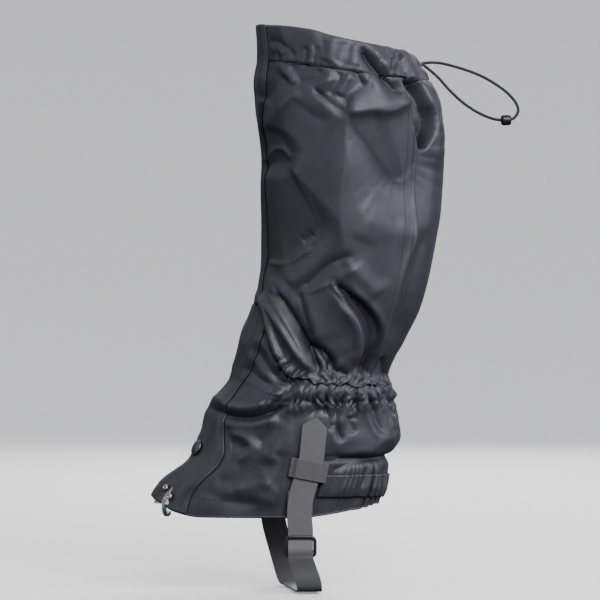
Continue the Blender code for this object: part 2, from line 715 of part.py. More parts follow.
def drawcord():
    base, facing, aside, _ = cord_frame()
    turn_out = ((6.2, 0.0), (4.4, 0.0001), (2.7, 0.0009))
    ends = []
    for side in (1, -1):
        in_hem = [sleeve(EXIT_ANGLE + side * aside_by, EXIT_HEIGHT, CORD_DEPTH + out)
                  for aside_by, out in turn_out]
        ends.append(in_hem + strand_points(side, facing, aside, base))
    outgoing, incoming = ends
    bead, bead_axis = Vector(BEAD_AT), Vector(BEAD_AXIS).normalized()
    through_bead = [bead + bead_axis * shift for shift in (-0.0045, 0.0, 0.0045)]
    route = [*outgoing, *LOOP_OUT, *through_bead, *LOOP_BACK, *reversed(incoming)]
    tube("drawcord_loop", BLACK_CORD, through(route, 0.0070), CORD)
    for name, side in (("drawcord_outer_run", -1), ("drawcord_inner_run", 1)):
        tube(name, BLACK_CORD, through(hem_run(side, 6.7), 0.0100), CORD)
    bore, radius, half = CORD / 2 + 0.0005, 0.0055, 0.0050
    profile = [(bore, -half), (radius - 0.0009, -half), (radius, -half + 0.0009), (radius, half - 0.0009),
               (radius - 0.0009, half), (bore, half)]
    turned("cord_bead", BLACK_PLASTIC, profile, bead, bead_axis)


# ---- the strap under the boot and its slider ----------------------------------------------------

HEM_HINGE_HEIGHT = 0.084
HINGE_LAP = 0.004       # how far the two parts of a strap lap past the line that it swings about
OUTER_ANCHOR_X = -0.020
INNER_ANCHOR_X = -0.050
SLIDER_CENTRE = (-0.0195, 0.0476)
SLIDER_SIZE = (0.032, 0.0222)
SLIDER_BAR = 0.003
SLIDER_DEPTH = 0.0018
SLIDER_MIDDLE_BAR = (-0.0051, 0.0020)   # its lower edge from the slider's middle, and its height
KEEPER_MIDDLE = (-0.0115, 0.1225)
STRAP_SPLIT = 0.1345


# How far out the middle of each layer of webbing lies. Layers that turn on each other are further
# apart, because the line that they turn about isn't square to them.
ANCHOR_WEBBING = 0.0012
TURNING_GAP = 0.0007
PATCH_OUT = 0.0508
ANCHOR_OUT = PATCH_OUT + ANCHOR_WEBBING + TURNING_GAP
TAIL_OUT = ANCHOR_OUT + (ANCHOR_WEBBING + WEBBING) / 2 + TURNING_GAP
LAP_OUT = TAIL_OUT + WEBBING + TURNING_GAP
INNER_PATCH_OUT = 0.0520
INNER_STRAP_OUT = INNER_PATCH_OUT + (ANCHOR_WEBBING + WEBBING) / 2 + TURNING_GAP
SLIDER_OUT = TAIL_OUT + WEBBING / 2 + GAP + SLIDER_DEPTH / 2
OVER_ANCHOR = SLIDER_OUT + SLIDER_DEPTH / 2 + 0.0007 + ANCHOR_WEBBING + WEBBING / 2


def strap_tail():
    """From the hem up through the keeper to where the free end begins."""
    route = [(-0.0205, HEM_HINGE_HEIGHT - HINGE_LAP), (-0.0185, 0.098), (-0.0135, 0.1145), (-0.0105, 0.127),
             (-0.0085, STRAP_SPLIT - 0.0002)]
    centre = [Vector((x, -TAIL_OUT, z)) for x, z in route]
    across = [Vector((1, 0, 0)), Vector((1, 0, -0.16)), Vector((1, 0, -0.19)), Vector((1, 0, -0.17)),
              Vector((1, 0, -0.15))]
    strip("strap_tail", STRAP, centre, across, [WEBBING_WIDTH] * len(centre), WEBBING)


def strap_end():
    """The free end above the keeper, cut to a point."""
    route = [(-0.0085, STRAP_SPLIT + 0.0002), (-0.0070, 0.150), (-0.0055, 0.1645), (-0.0030, 0.1745)]
    centre = [Vector((x, -TAIL_OUT, z)) for x, z in route]
    across = [Vector((1, 0, -0.15))] * 4
    strip("strap_end", STRAP, centre, across, [WEBBING_WIDTH, WEBBING_WIDTH, WEBBING_WIDTH, 0.002], WEBBING)


def keeper():
    """A flat sleeve of webbing sewn to the foot panel, that the strap's tail runs through."""
    x, z = KEEPER_MIDDLE
    inside = (WEBBING_WIDTH / 2 + 0.0012, WEBBING / 2 + 0.0005)
    wall = 0.0012
    flank = 0.0045
    height = 0.0195
    along = Vector((0.19, 0, 1)).normalized()
    sideways = Vector((1, 0, -0.19)).normalized()
    out = Vector((0, -1, 0))
    reach, depth = inside
    loop = [(-reach - flank, -depth), (-reach, -depth), (-reach, depth - 0.0006), (-reach + 0.001, depth),
            (reach - 0.001, depth), (reach, depth - 0.0006), (reach, -depth), (reach + flank, -depth)]
    middle = Vector((x, -TAIL_OUT, z))

    def place(side, along_webbing):
        i = round(along_webbing * (len(loop) - 1))
        across, lift = loop[i]
        return middle + sideways * across + out * lift + along * (side - 0.5) * height

    obj = node("strap_keeper", grid_mesh("strap_keeper", 1, len(loop) - 1, place), STRAP)
    solidify(obj, wall, side=-1.0)
    return obj


def instep_strap():
    """From the slider's top, over its lower bar, under the boot and up to the inner side's anchor."""
    top = HEM_HINGE_HEIGHT + HINGE_LAP
    low, high = SLIDER_CENTRE[1] - SLIDER_SIZE[1] / 2, SLIDER_CENTRE[1] + SLIDER_SIZE[1] / 2
    front = SLIDER_OUT + SLIDER_DEPTH / 2 + 0.0004 + WEBBING / 2
    inner = INNER_STRAP_OUT
    middle = SLIDER_CENTRE[0]
    route = [
        (-0.0205, -LAP_OUT, top), (-0.0203, -LAP_OUT, high + 0.0135), (middle, -TAIL_OUT, high + 0.006),
        (middle, -TAIL_OUT, high + 0.001), (middle, -TAIL_OUT, high - 0.0030),
        (middle, -TAIL_OUT - 0.0010, high - 0.0052), (middle, -TAIL_OUT - 0.0034, high - 0.0086),
        (middle, -OVER_ANCHOR + 0.0004, high - 0.0118), (middle, -OVER_ANCHOR, high - 0.0145),
        (middle, -OVER_ANCHOR, high - 0.0170), (middle, -front - 0.0005, low + 0.0028),
        (middle, -front, low - 0.0004), (-0.0165, -front + 0.0030, low - 0.0100),
        (-0.0120, -0.0535, 0.0140), (-0.0105, -0.0500, 0.0062), (-0.0110, -0.0430, 0.0030),
        (-0.0135, -0.0250, 0.0020), (-0.0170, 0.0000, 0.0020), (-0.0215, 0.0250, 0.0020),
        (-0.0265, 0.0430, 0.0036), (-0.0300, 0.0500, 0.0080), (-0.0335, 0.0530, 0.0170),
        (-0.0400, inner, 0.0400), (-0.0460, inner, 0.0620), (INNER_ANCHOR_X, inner, top),
    ]
    centre = [Vector(p) for p in route]
    across = []
    for i, point in enumerate(centre):
        along = centre[min(i + 1, len(centre) - 1)] - centre[max(i - 1, 0)]
        flat = Vector((0, -along.z, along.y)).normalized()
        across.append(flat.cross(along).normalized())
    across = [a if a.x > 0 else -a for a in across]
    level = Vector((1, 0, 0))
    across[0] = across[-1] = level
    strip("instep_strap", STRAP, centre, across, [WEBBING_WIDTH] * len(centre), WEBBING)


def slider():
    """A flat frame with a bar across its middle."""
    width, height = SLIDER_SIZE
    bm = bmesh.new()
    bmesh.ops.create_cube(bm, size=1.0)
    bmesh.ops.scale(bm, vec=(width, SLIDER_DEPTH, height), verts=bm.verts)
    upright = [e for e in bm.edges if abs(e.verts[0].co.y - e.verts[1].co.y) > SLIDER_DEPTH / 2]
    bmesh.ops.bevel(bm, geom=upright, offset=0.0035, segments=4, profile=0.5, affect="EDGES")
    obj = node("strap_slider", mesh_from("strap_slider", bm), BLACK_PLASTIC)
    x, z = SLIDER_CENTRE
    place = Matrix.Translation((x, -SLIDER_OUT, z))
    obj.matrix_world = place
    inner_height = height - 2 * SLIDER_BAR
    bar_low, bar = SLIDER_MIDDLE_BAR
    upper = inner_height / 2 - (bar_low + bar)
    lower = bar_low + inner_height / 2
    for name, tall, middle in (("upper", upper, inner_height / 2 - upper / 2),
                               ("lower", lower, -inner_height / 2 + lower / 2)):
        window = slot(f"cut_slider_{name}", (width - 2 * SLIDER_BAR + 0.0006, 0.01, tall),
                      place @ Matrix.Translation((0, 0, middle)))
        combine(obj, window, "DIFFERENCE")
    return z + bar_low, bar


def slider_anchor(bar_low, bar):
    """A short piece of webbing from the outer hem down round the slider's middle bar and back up behind."""
    top = HEM_HINGE_HEIGHT + HINGE_LAP
    x = SLIDER_CENTRE[0]
    half = max(SLIDER_DEPTH, bar) / 2 + 0.0004 + ANCHOR_WEBBING / 2
    middle = bar_low + bar / 2
    inner_layer = ANCHOR_OUT
    route = [
        (inner_layer, top), (inner_layer, middle + 0.008), (inner_layer + 0.0002, middle + 0.0010),
        (inner_layer + 0.0012, middle - 0.0016), (SLIDER_OUT - 0.0007, middle - half - 0.0001),
        (SLIDER_OUT + half * 0.75, middle - half * 0.80), (SLIDER_OUT + half, middle),
        (SLIDER_OUT + half * 0.7, middle + half * 0.85), (SLIDER_OUT - 0.0005, middle + half + 0.0003),
        (inner_layer + 0.0026, middle + 0.0034),
    ]
    centre = [Vector((x, -out, z)) for out, z in route]
    width = [0.0225] * len(centre)
    strip("slider_anchor", STRAP, centre, [Vector((1, 0, 0))] * len(centre), width, ANCHOR_WEBBING)


def anchor_patches():
    """Webbing sewn to the sleeve over the hem, where each end of the strap is held."""
    low = HEM_HINGE_HEIGHT - HINGE_LAP
    places = (
        ("outer_anchor_patch", OUTER_ANCHOR_X, -PATCH_OUT),
        ("inner_anchor_patch", INNER_ANCHOR_X, INNER_PATCH_OUT),
    )
    for name, x, y in places:
        centre = [Vector((x, y, low)), Vector((x, y, low + 0.022))]
        strip(name, STRAP, centre, [Vector((1, 0, 0))] * 2, [WEBBING_WIDTH] * 2, ANCHOR_WEBBING)


def build():
    clear_scene()
    collection(PARTS)
    collection(CUTTERS).hide_render = True
    calf_panels()
    foot_outer = foot_panels()
    bottom_hem()
    elastics()
    heel_band()
    _, flap_lower = storm_flap()
    closure_tapes()
    press_stud(flap_lower, foot_outer)
    lace_hook(flap_lower)
    grommet(top_hem())
    cord_lock()
    drawcord()
    strap_tail()
    strap_end()
    keeper()
    instep_strap()
    slider_anchor(*slider())
    anchor_patches()


build()
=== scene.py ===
"""How the hiking gaiter looks: its cloth, webbing, cord and fittings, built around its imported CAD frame.

The frame is the CAD part's: X runs along the foot with the toe towards -X, -Y is the outer side of the leg,
+Z is up. Lengths are in metres and angles in degrees. A place on the sleeve is an angle round the leg
(0 at the front, 90 on the outer side, 180 at the rear, 270 on the inner side) and a height.
"""

import json
import math

import bmesh
import bpy
import numpy as np
from mathutils import Matrix, Vector


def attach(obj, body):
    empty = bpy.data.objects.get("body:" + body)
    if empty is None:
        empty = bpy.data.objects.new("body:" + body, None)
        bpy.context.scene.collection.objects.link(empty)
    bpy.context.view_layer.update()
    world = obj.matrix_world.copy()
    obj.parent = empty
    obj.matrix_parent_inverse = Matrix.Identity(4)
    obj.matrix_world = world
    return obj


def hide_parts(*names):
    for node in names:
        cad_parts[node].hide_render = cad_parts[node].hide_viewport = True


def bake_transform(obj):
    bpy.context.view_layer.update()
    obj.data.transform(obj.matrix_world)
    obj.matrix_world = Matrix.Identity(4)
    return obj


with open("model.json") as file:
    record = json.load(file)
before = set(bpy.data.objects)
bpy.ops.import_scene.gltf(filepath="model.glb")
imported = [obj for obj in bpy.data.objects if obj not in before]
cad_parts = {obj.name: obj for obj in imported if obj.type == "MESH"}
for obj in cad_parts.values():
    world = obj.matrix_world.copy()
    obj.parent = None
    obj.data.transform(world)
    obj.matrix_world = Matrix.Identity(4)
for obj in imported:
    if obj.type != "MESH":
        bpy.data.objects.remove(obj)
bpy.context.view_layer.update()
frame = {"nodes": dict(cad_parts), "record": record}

MM = 0.001

# ---- the sleeve's surface, as the CAD part has it ------------------------------------------------

CLOTH = 1.2 * MM
TAPE = 1.0 * MM
LAYER_GAP = 0.9 * MM
FLAP_LIFT = CLOTH + TAPE * 2 + LAYER_GAP * 3
SEAM_ANGLE = -40
SEAM_MARGIN = 8

# height, front, rear, half width outside, half width inside, where it is widest, front taper
SECTIONS = np.array((
    (0.070, -0.171, 0.052, 0.047, 0.047, -0.045, 0.16),
    (0.090, -0.1645, 0.057, 0.048, 0.047, -0.043, 0.16),
    (0.103, -0.1555, 0.062, 0.049, 0.048, -0.040, 0.15),
    (0.130, -0.1255, 0.068, 0.050, 0.049, -0.030, 0.12),
    (0.155, -0.1135, 0.078, 0.051, 0.050, -0.020, 0.10),
    (0.182, -0.1055, 0.073, 0.050, 0.049, -0.012, 0.07),
    (0.211, -0.0840, 0.066, 0.049, 0.049, -0.006, 0.03),
    (0.250, -0.0738, 0.083, 0.054, 0.055, 0.004, 0.0),
    (0.283, -0.0615, 0.099, 0.059, 0.060, 0.014, 0.0),
    (0.320, -0.0555, 0.109, 0.063, 0.063, 0.022, 0.0),
    (0.384, -0.0545, 0.120, 0.068, 0.066, 0.028, 0.0),
    (0.430, -0.0545, 0.124, 0.070, 0.067, 0.030, 0.0),
    (0.480, -0.0585, 0.119, 0.069, 0.066, 0.026, 0.0),
    (0.506, -0.060, 0.1075, 0.065, 0.063, 0.020, 0.0),
    (0.534, -0.056, 0.0935, 0.061, 0.061, 0.016, 0.0),
    (0.570, -0.058, 0.0765, 0.060, 0.060, 0.012, 0.0),
))


def through(pairs):
    """A smooth function through (where, value) pairs that never overshoots them."""
    xs, ys = np.array(pairs, float).T
    rise = np.diff(ys) / np.diff(xs)
    slope = np.zeros(len(xs))
    before, after = rise[:-1], rise[1:]
    same_way = before * after > 0
    slope[1:-1][same_way] = 2 * (before * after)[same_way] / (before + after)[same_way]

    def at(where):
        where = np.clip(where, xs[0], xs[-1])
        i = np.clip(np.searchsorted(xs, where) - 1, 0, len(rise) - 1)
        span = xs[i + 1] - xs[i]
        t = (where - xs[i]) / span
        start = ys[i] * (2 * t**3 - 3 * t**2 + 1) + slope[i] * span * (t**3 - 2 * t**2 + t)
        return start + ys[i + 1] * (3 * t**2 - 2 * t**3) + slope[i + 1] * span * (t**3 - t**2)

    return at


FRONT, REAR, OUTER, INNER, WIDEST, TAPER = (
    through(SECTIONS[:, (0, i)]) for i in range(1, 7)
)

# Edges that run up the leg: (height, angle).
flap_free_edge = through((
    (0.070, 46), (0.099, 44.5), (0.118, 45.5), (0.134, 44.5), (0.155, 37), (0.172, 33.5), (0.188, 31.5),
    (0.203, 30), (0.214, 32), (0.232, 36), (0.250, 38), (0.273, 34), (0.290, 17), (0.320, 7), (0.400, 7),
    (0.440, 8), (0.470, 13), (0.490, 20), (0.510, 25), (0.570, 23),
))
underlap_edge = through((
    (0.070, 0), (0.244, 0), (0.273, -4), (0.300, -14), (0.320, -20), (0.400, -20), (0.440, -19),
    (0.470, -13), (0.490, -8), (0.520, -4), (0.570, 0),
))


def away_from_front(angle):
    """The angle from the front, whichever way round: 0 to 180."""
    return np.abs((np.asarray(angle, float) + 180) % 360 - 180)


def round_leg(pairs):
    """An edge's height at an angle. The two sides of the leg are alike."""
    at = through(pairs)
    return lambda angle: at(away_from_front(angle))


# Edges that run round the leg: (angle from the front, height).
bottom_edge = round_leg((
    (0, 0.092), (20, 0.088), (36, 0.081), (55, 0.076), (100, 0.076), (140, 0.083), (180, 0.090)))
ankle_seam = round_leg((
    (0, 0.288), (18, 0.287), (42, 0.262), (58, 0.236), (74, 0.216), (110, 0.208), (180, 0.207)))
hem_stitch = round_leg(((0, 0.527), (50, 0.524), (90, 0.516), (130, 0.509), (180, 0.506)))
top_edge = round_leg((
    (0, 0.564), (40, 0.561), (70, 0.556), (90, 0.549), (125, 0.541), (160, 0.536), (180, 0.534)))

EASE = 0.6                              # how gently the front's taper starts at the widest place
EASED_FROM, EASED_OVER = 0.24, 0.05     # it does so above the ankle only


def on_surface(angle, height):
    """The place on the smooth sleeve."""
    angle, height = np.broadcast_arrays(np.asarray(angle, float), np.asarray(height, float))
    turn = np.radians(angle)
    forward, sideways = np.cos(turn), np.sin(turn)
    widest = WIDEST(height)
    reach = np.where(forward > 0, widest - FRONT(height), REAR(height) - widest)
    half = np.where(sideways > 0, OUTER(height), INNER(height))
    eased = forward * np.abs(forward) * (1 + EASE) / (np.abs(forward) + EASE)
    draw = forward + (eased - forward) * np.clip((height - EASED_FROM) / EASED_OVER, 0, 1)
    drawn_in = np.where(forward > 0, 1 - TAPER(height) * draw, 1.0)
    return np.stack([widest - reach * forward, -half * sideways * drawn_in, height], axis=-1)


def outward(angle, height):
    """The direction straight out of the smooth sleeve there."""
    step_angle, step_height = 1.5, 0.004
    round_it = on_surface(angle + step_angle, height) - on_surface(angle - step_angle, height)
    up_it = on_surface(angle, height + step_height) - on_surface(angle, height - step_height)
    normal = np.cross(round_it, up_it)
    return normal / np.linalg.norm(normal, axis=-1, keepdims=True)


def ramp(low, high, value):
    """0 below low, 1 above high, and smooth between them."""
    t = np.clip((value - low) / (high - low), 0, 1)
    return t * t * (3 - 2 * t)


def angle_where(x, height, low=0.0, high=180.0):
    """The angle on the outer side at which the surface passes this x."""
    for _ in range(40):
        middle = (low + high) / 2
        if on_surface(middle, height)[0] < x:
            low = middle
        else:
            high = middle
    return (low + high) / 2


# ---- folds --------------------------------------------------------------------------------------

# Each fold on the outer side: its lift (below 0 for a valley) and its width in millimetres, how much wider
# it is on its left side, how sharp its crest is (0 rounded, 1 creased), and the (x, z) points it runs along.
CALF_FOLDS = (
    # the hem's diagonal fold and the deep pleat behind it
    (-7.5, 4.2, 1.0, 0.5, ((37, 541), (46, 526), (56, 514), (66, 505), (74, 496), (83, 491))),
    (-6.0, 3.0, 1.4, 0.0, ((78, 536), (82, 520), (88, 506), (94, 490))),
    (3.0, 6.0, 1.0, 0.3, ((46, 541), (56, 528), (66, 517), (80, 505), (92, 492))),
    (-2.6, 3.0, 1.0, 0.5, ((69, 530), (70, 517), (71, 505))),
    (3.0, 7.0, 1.0, 0.4, ((98, 512), (108, 492), (115, 470), (119, 448), (120, 420))),
    # the ledge under the light patch, and the hollow under it
    (4.2, 5.0, 3.2, 0.5, ((20, 474), (36, 474), (50, 477), (66, 474), (82, 481), (92, 492))),
    (1.2, 7.0, 1.6, 0.6, ((-22, 497), (4, 484), (24, 473), (48, 442), (70, 416), (84, 402), (97, 414),
                          (108, 440))),
    # soft gathers below the hem
    (-1.6, 5.0, 1.0, 0.2, ((2, 517), (-4, 506), (-10, 496))),
    (1.8, 5.0, 1.0, 0.2, ((12, 516), (6, 504), (-1, 492))),
    (-2.0, 5.0, 1.0, 0.2, ((22, 513), (15, 501), (8, 489))),
    (2.0, 5.0, 1.0, 0.2, ((32, 513), (25, 502), (17, 490))),
    (-2.8, 7.0, 1.0, 0.1, ((44, 508), (32, 496), (20, 482))),
    (1.6, 4.0, 1.0, 0.3, ((-40, 524), (-30, 512), (-27, 500))),
    (-1.5, 4.0, 1.0, 0.3, ((-30, 524), (-22, 512), (-18, 500))),
    # small creases in the front of the hem
    (-1.5, 2.6, 1.0, 0.7, ((-50, 547), (-42, 546), (-34, 541), (-27, 534), (-23, 526))),
    (1.3, 3.0, 1.0, 0.4, ((-48, 540), (-40, 538), (-33, 531))),
    (-1.8, 2.4, 1.0, 0.5, ((-13, 540), (-13, 530), (-16, 520))),
    (1.6, 2.6, 1.0, 0.5, ((-8, 541), (-8, 530), (-10, 520))),
    (-1.4, 2.4, 1.0, 0.5, ((-3, 540), (-5, 530), (-8, 521))),
    (1.8, 8.0, 1.0, 0.1, ((14, 549), (12, 536), (6, 522))),
    (-1.6, 6.0, 1.0, 0.1, ((24, 545), (21, 534), (17, 520))),
    (1.5, 5.0, 1.0, 0.2, ((34, 542), (36, 530), (33, 518))),
    # the inverted V in the upper calf and the hollows in front
    (2.4, 7.0, 1.3, 0.5, ((-20, 498), (-32, 486), (-44, 474), (-54, 458))),
    (-2.6, 8.0, 1.0, 0.1, ((-32, 512), (-44, 500), (-56, 486))),
    (-1.4, 6.0, 1.0, 0.3, ((-28, 488), (-18, 478), (-4, 468), (10, 462))),
    (2.2, 4.0, 1.0, 0.6, ((-57, 424), (-50, 436), (-42, 441), (-34, 436), (-30, 426))),
    (1.4, 5.0, 1.8, 0.7, ((-31, 440), (-25, 415), (-14, 392), (-5, 372), (1, 354), (-12, 343), (-19, 336))),
    (2.6, 4.0, 1.0, 0.6, ((-60, 330), (-46, 325), (-34, 326), (-20, 334), (-8, 344))),
    (-2.0, 6.0, 1.0, 0.2, ((-54, 318), (-40, 312), (-28, 300), (-18, 286))),
    (-1.6, 4.0, 1.0, 0.5, ((-20, 346), (-14, 351), (-8, 356))),
    # the light panel above the elastic
    (2.0, 5.0, 2.0, 0.5, ((-16, 300), (-13, 286), (-6, 262), (-2, 246))),
    (-1.6, 3.0, 1.0, 0.3, ((-20, 300), (-18, 284), (-11, 262), (-7, 248))),
    (-6.6, 5.4, 1.0, 0.0, ((14, 300), (28, 288), (40, 276), (47, 264), (48, 250), (45, 236), (39, 220),
                           (37, 206))),
    (3.0, 5.0, 2.2, 0.6, ((8, 303), (20, 285), (30, 272), (36, 258), (36, 240), (31, 222))),
    (2.6, 4.4, 1.0, 0.5, ((22, 302), (38, 294), (52, 280), (60, 262), (58, 244), (50, 226))),
    (2.0, 8.0, 1.0, 0.0, ((30, 326), (42, 310), (58, 292))),
    (-4.2, 3.6, 1.0, 0.1, ((-12, 248), (-2, 241), (6, 233), (10, 222), (9, 210))),
    (2.6, 3.6, 1.0, 0.5, ((-14, 240), (-5, 232), (0, 222), (1, 212))),
    (-3.6, 3.4, 1.0, 0.1, ((16, 222), (22, 218), (27, 214))),
    (-4.0, 3.0, 1.0, 0.2, ((60, 236), (61, 226), (62, 212))),
    # the blouse's rolled ridge over the ankle seam and the fold beside it
    (5.2, 4.6, 1.0, 0.4, ((-62, 300), (-53, 288), (-41, 268), (-27, 243), (-16, 228), (-6, 216))),
    (-4.4, 4.6, 1.0, 0.2, ((-44, 298), (-32, 282), (-18, 260), (-8, 238), (0, 220), (2, 208))),
    (2.4, 4.0, 1.0, 0.5, ((-52, 308), (-38, 292), (-26, 274), (-16, 254))),
    # the fold along the seam at the rear
    (3.0, 2.8, 1.0, 0.6, ((99, 374), (93, 358), (90, 344), (82, 322), (74, 292), (67, 268), (58, 242),
                          (54, 226))),
    (-2.0, 6.0, 1.0, 0.2, ((106, 366), (99, 344), (91, 318), (84, 294), (77, 270), (68, 246))),
    (-1.5, 8.0, 1.0, 0.1, ((78, 380), (72, 350), (66, 322), (60, 300))),
    (1.4, 10.0, 1.0, 0.1, ((60, 400), (50, 370), (40, 345))),
)
FOOT_FOLDS = (
    # the groove and the ridges that run back from the hump in front
    (-4.6, 4.0, 1.0, 0.2, ((-98, 177), (-80, 173), (-62, 174), (-46, 181), (-30, 191))),
    (4.0, 6.0, 1.0, 0.3, ((-102, 187), (-84, 181), (-64, 182), (-46, 189), (-32, 197))),
    (3.4, 5.0, 1.6, 0.3, ((-98, 168), (-78, 166), (-58, 168), (-40, 174))),
    # the crescent, and the fan of soft folds from the elastic's front end
    (3.6, 4.0, 1.4, 0.6, ((-92, 156), (-81, 157), (-71, 152), (-67, 143), (-73, 135), (-84, 130))),
    (-3.0, 6.0, 1.0, 0.0, ((-90, 147), (-79, 147), (-77, 140))),
    (-4.4, 8.0, 1.0, 0.0, ((-32, 188), (-41, 170), (-52, 155), (-64, 144))),
    (3.0, 8.0, 1.0, 0.2, ((-36, 174), (-43, 156), (-47, 140), (-48, 126))),
    (-2.4, 7.0, 1.0, 0.0, ((-106, 113), (-86, 108), (-70, 108), (-54, 116))),
    (2.6, 7.0, 1.0, 0.3, ((-86, 102), (-68, 105), (-57, 110), (-46, 105))),
    (-2.6, 6.0, 1.0, 0.0, ((-114, 100), (-94, 93), (-76, 89), (-58, 92))),
    (1.8, 6.0, 1.0, 0.3, ((-72, 97), (-56, 95), (-42, 89))),
    # fine creases in front of the blouse's ridge
    (-2.2, 3.0, 1.0, 0.5, ((-58, 262), (-48, 246), (-36, 226), (-26, 210))),
    (2.0, 3.0, 1.0, 0.5, ((-62, 256), (-52, 240), (-40, 220), (-28, 206))),
    (-2.0, 3.2, 1.0, 0.5, ((-66, 246), (-56, 232), (-44, 214), (-30, 202))),
    (1.8, 3.0, 1.0, 0.5, ((-70, 240), (-60, 224), (-46, 208), (-32, 199))),
    (-2.0, 3.2, 1.0, 0.4, ((-76, 226), (-62, 214), (-48, 204), (-30, 196))),
    (1.8, 3.4, 1.0, 0.4, ((-80, 214), (-64, 206), (-46, 198), (-28, 193))),
    # pleats that hang from the elastic behind the strap
    (-5.4, 2.6, 1.6, 0.0, ((19, 193), (15, 181), (14, 170), (17, 158), (22, 148))),
    (-4.6, 2.4, 1.0, 0.0, ((3, 187), (8, 177), (10, 168), (9, 158))),
    (2.8, 4.4, 1.0, 0.3, ((12, 191), (9, 179), (13, 166))),
    (-4.0, 2.6, 1.0, 0.0, ((32, 193), (34, 181), (33, 170))),
    (-3.0, 3.2, 1.0, 0.0, ((28, 177), (30, 167), (34, 157))),
    (2.6, 3.2, 1.0, 0.5, ((42, 195), (45, 180), (49, 166), (57, 151))),
    (-3.2, 2.8, 1.0, 0.2, ((49, 195), (52, 181), (57, 168), (63, 155))),
    (2.8, 3.2, 1.0, 0.5, ((55, 199), (60, 185), (68, 170), (75, 159))),
    (-4.0, 2.8, 1.0, 0.2, ((60, 201), (67, 187), (75, 173))),
    (3.6, 4.6, 1.5, 0.3, ((8, 127), (22, 136), (38, 140), (54, 140), (66, 138))),
    (-3.4, 3.0, 1.0, 0.3, ((8, 120), (24, 127), (44, 130), (64, 131))),
)


# Each slope runs inwards from a crest line to a crease line: the crest's lift and the crease's depth in
# millimetres, how softly the cloth comes back beyond each of them, then the (x, z) points of the two lines.
CALF_SLOPES = (
    # the dull facet between the two upper ridges
    (1.0, 3.4, 7.0, 4.0, ((-9, 501), (16, 507), (44, 505)), ((-8, 498), (7, 485), (18, 476), (24, 474))),
    # the curved fold above the elastic, and the small one in front of it
    (1.8, 7.5, 6.0, 2.5, ((12, 304), (25, 287), (35, 271), (40, 258), (39, 239), (35, 216)),
     ((13, 306), (34, 293), (50, 278), (58, 263), (57, 248), (48, 231), (41, 214))),
    (2.0, 5.0, 5.0, 2.2, ((-12, 244), (-4, 238), (2, 229), (5, 215)),
     ((-11, 247), (4, 240), (13, 230), (16, 214))),
    # the light panel's upper edge
    (1.2, 3.6, 9.0, 5.0, ((-15, 296), (0, 302), (12, 306), (31, 320)),
     ((-19, 300), (-4, 315), (11, 327), (25, 331))),
    # the fold beside the blouse's ridge
    (1.6, 5.0, 5.0, 3.0, ((-50, 296), (-41, 281), (-29, 260), (-17, 238), (-8, 220)),
     ((-45, 300), (-33, 284), (-21, 262), (-9, 242), (-1, 221))),
)
# Each facet is a flat place: its lift at its first point and its depth at its last, how softly it ends at its
# outline and how much more so where it is deep, the two points, and the outline.
CALF_FACETS = (
    # the deep pleat at the rear
    (-16.0, 19.0, 2.2, 0.08, (90, 504), (106, 444), (
        (82, 505), (93, 508), (100, 498), (105, 487), (110, 476), (112, 462), (110, 448), (106, 440),
        (102, 448),
        (98, 464), (94, 480), (88, 494))),
    # the dark triangle under the light patch
    (0.0, 15.0, 2.6, 3.8, (62, 478), (78, 406), (
        (25, 474), (45, 476), (56, 475), (68, 474), (80, 482), (86, 488), (93, 468), (99, 446), (97, 428),
        (90, 416), (81, 409), (74, 411), (63, 423), (50, 439), (34, 457))),
    # the two dark places in front
    (1.0, 5.0, 3.0, 3.4, (-60, 466), (-44, 428), (
        (-66, 464), (-50, 462), (-40, 452), (-33, 436), (-36, 428), (-66, 426))),
    (0.0, 7.0, 2.4, 3.0, (-60, 405), (-14, 352), (
        (-66, 421), (-42, 421), (-32, 418), (-25, 405), (-14, 383), (-4, 364), (-3, 355), (-9, 347), (-19, 338),
        (-36, 328), (-66, 334))),
)
FOOT_SLOPES = (
    # the hump in front
    (2.0, 3.4, 6.0, 5.0, ((-112, 192), (-96, 188), (-80, 183), (-62, 185), (-44, 191)),
     ((-112, 183), (-97, 178), (-80, 173), (-60, 174), (-42, 183))),
)


def beside_line(x, z, points):
    """The distance of each place to a line, on which side of it that is, and how far along the line."""
    line = np.array(points, float) * MM
    lengths = np.linalg.norm(np.diff(line, axis=0), axis=1)
    reached = np.concatenate([[0], np.cumsum(lengths)]) / lengths.sum()
    best = np.full(x.shape, np.inf)
    side = np.ones(x.shape)
    along = np.zeros(x.shape)
    for i, (a, b) in enumerate(zip(line, line[1:])):
        run = b - a
        t = ((x - a[0]) * run[0] + (z - a[1]) * run[1]) / (run @ run)
        held = np.clip(t, 0, 1)
        dx, dz = x - a[0] - held * run[0], z - a[1] - held * run[1]
        distance = np.hypot(dx, dz)
        nearer = distance < best
        best = np.where(nearer, distance, best)
        side = np.where(nearer, np.sign(run[0] * dz - run[1] * dx), side)
        along = np.where(nearer, reached[i] + held * (reached[i + 1] - reached[i]), along)
    return best, side, along


def rounded(points, times=2):
    """The line with its corners cut, so that a fold along it curves."""
    line = np.array(points, float)
    for _ in range(times):
        a, b = line[:-1], line[1:]
        cut = np.stack([a * 0.75 + b * 0.25, a * 0.25 + b * 0.75], axis=1).reshape(-1, 2)
        line = np.vstack([line[:1], cut[1:-1], line[-1:]])
    return line


FOLD_POWER = 1.75        # how round a fold is across: 2 would be a bell
CREST = 0.07             # how wide its very crest is kept smooth, as a share of its width
FOLD_END = 0.18          # the share of its length over which it fades in and out


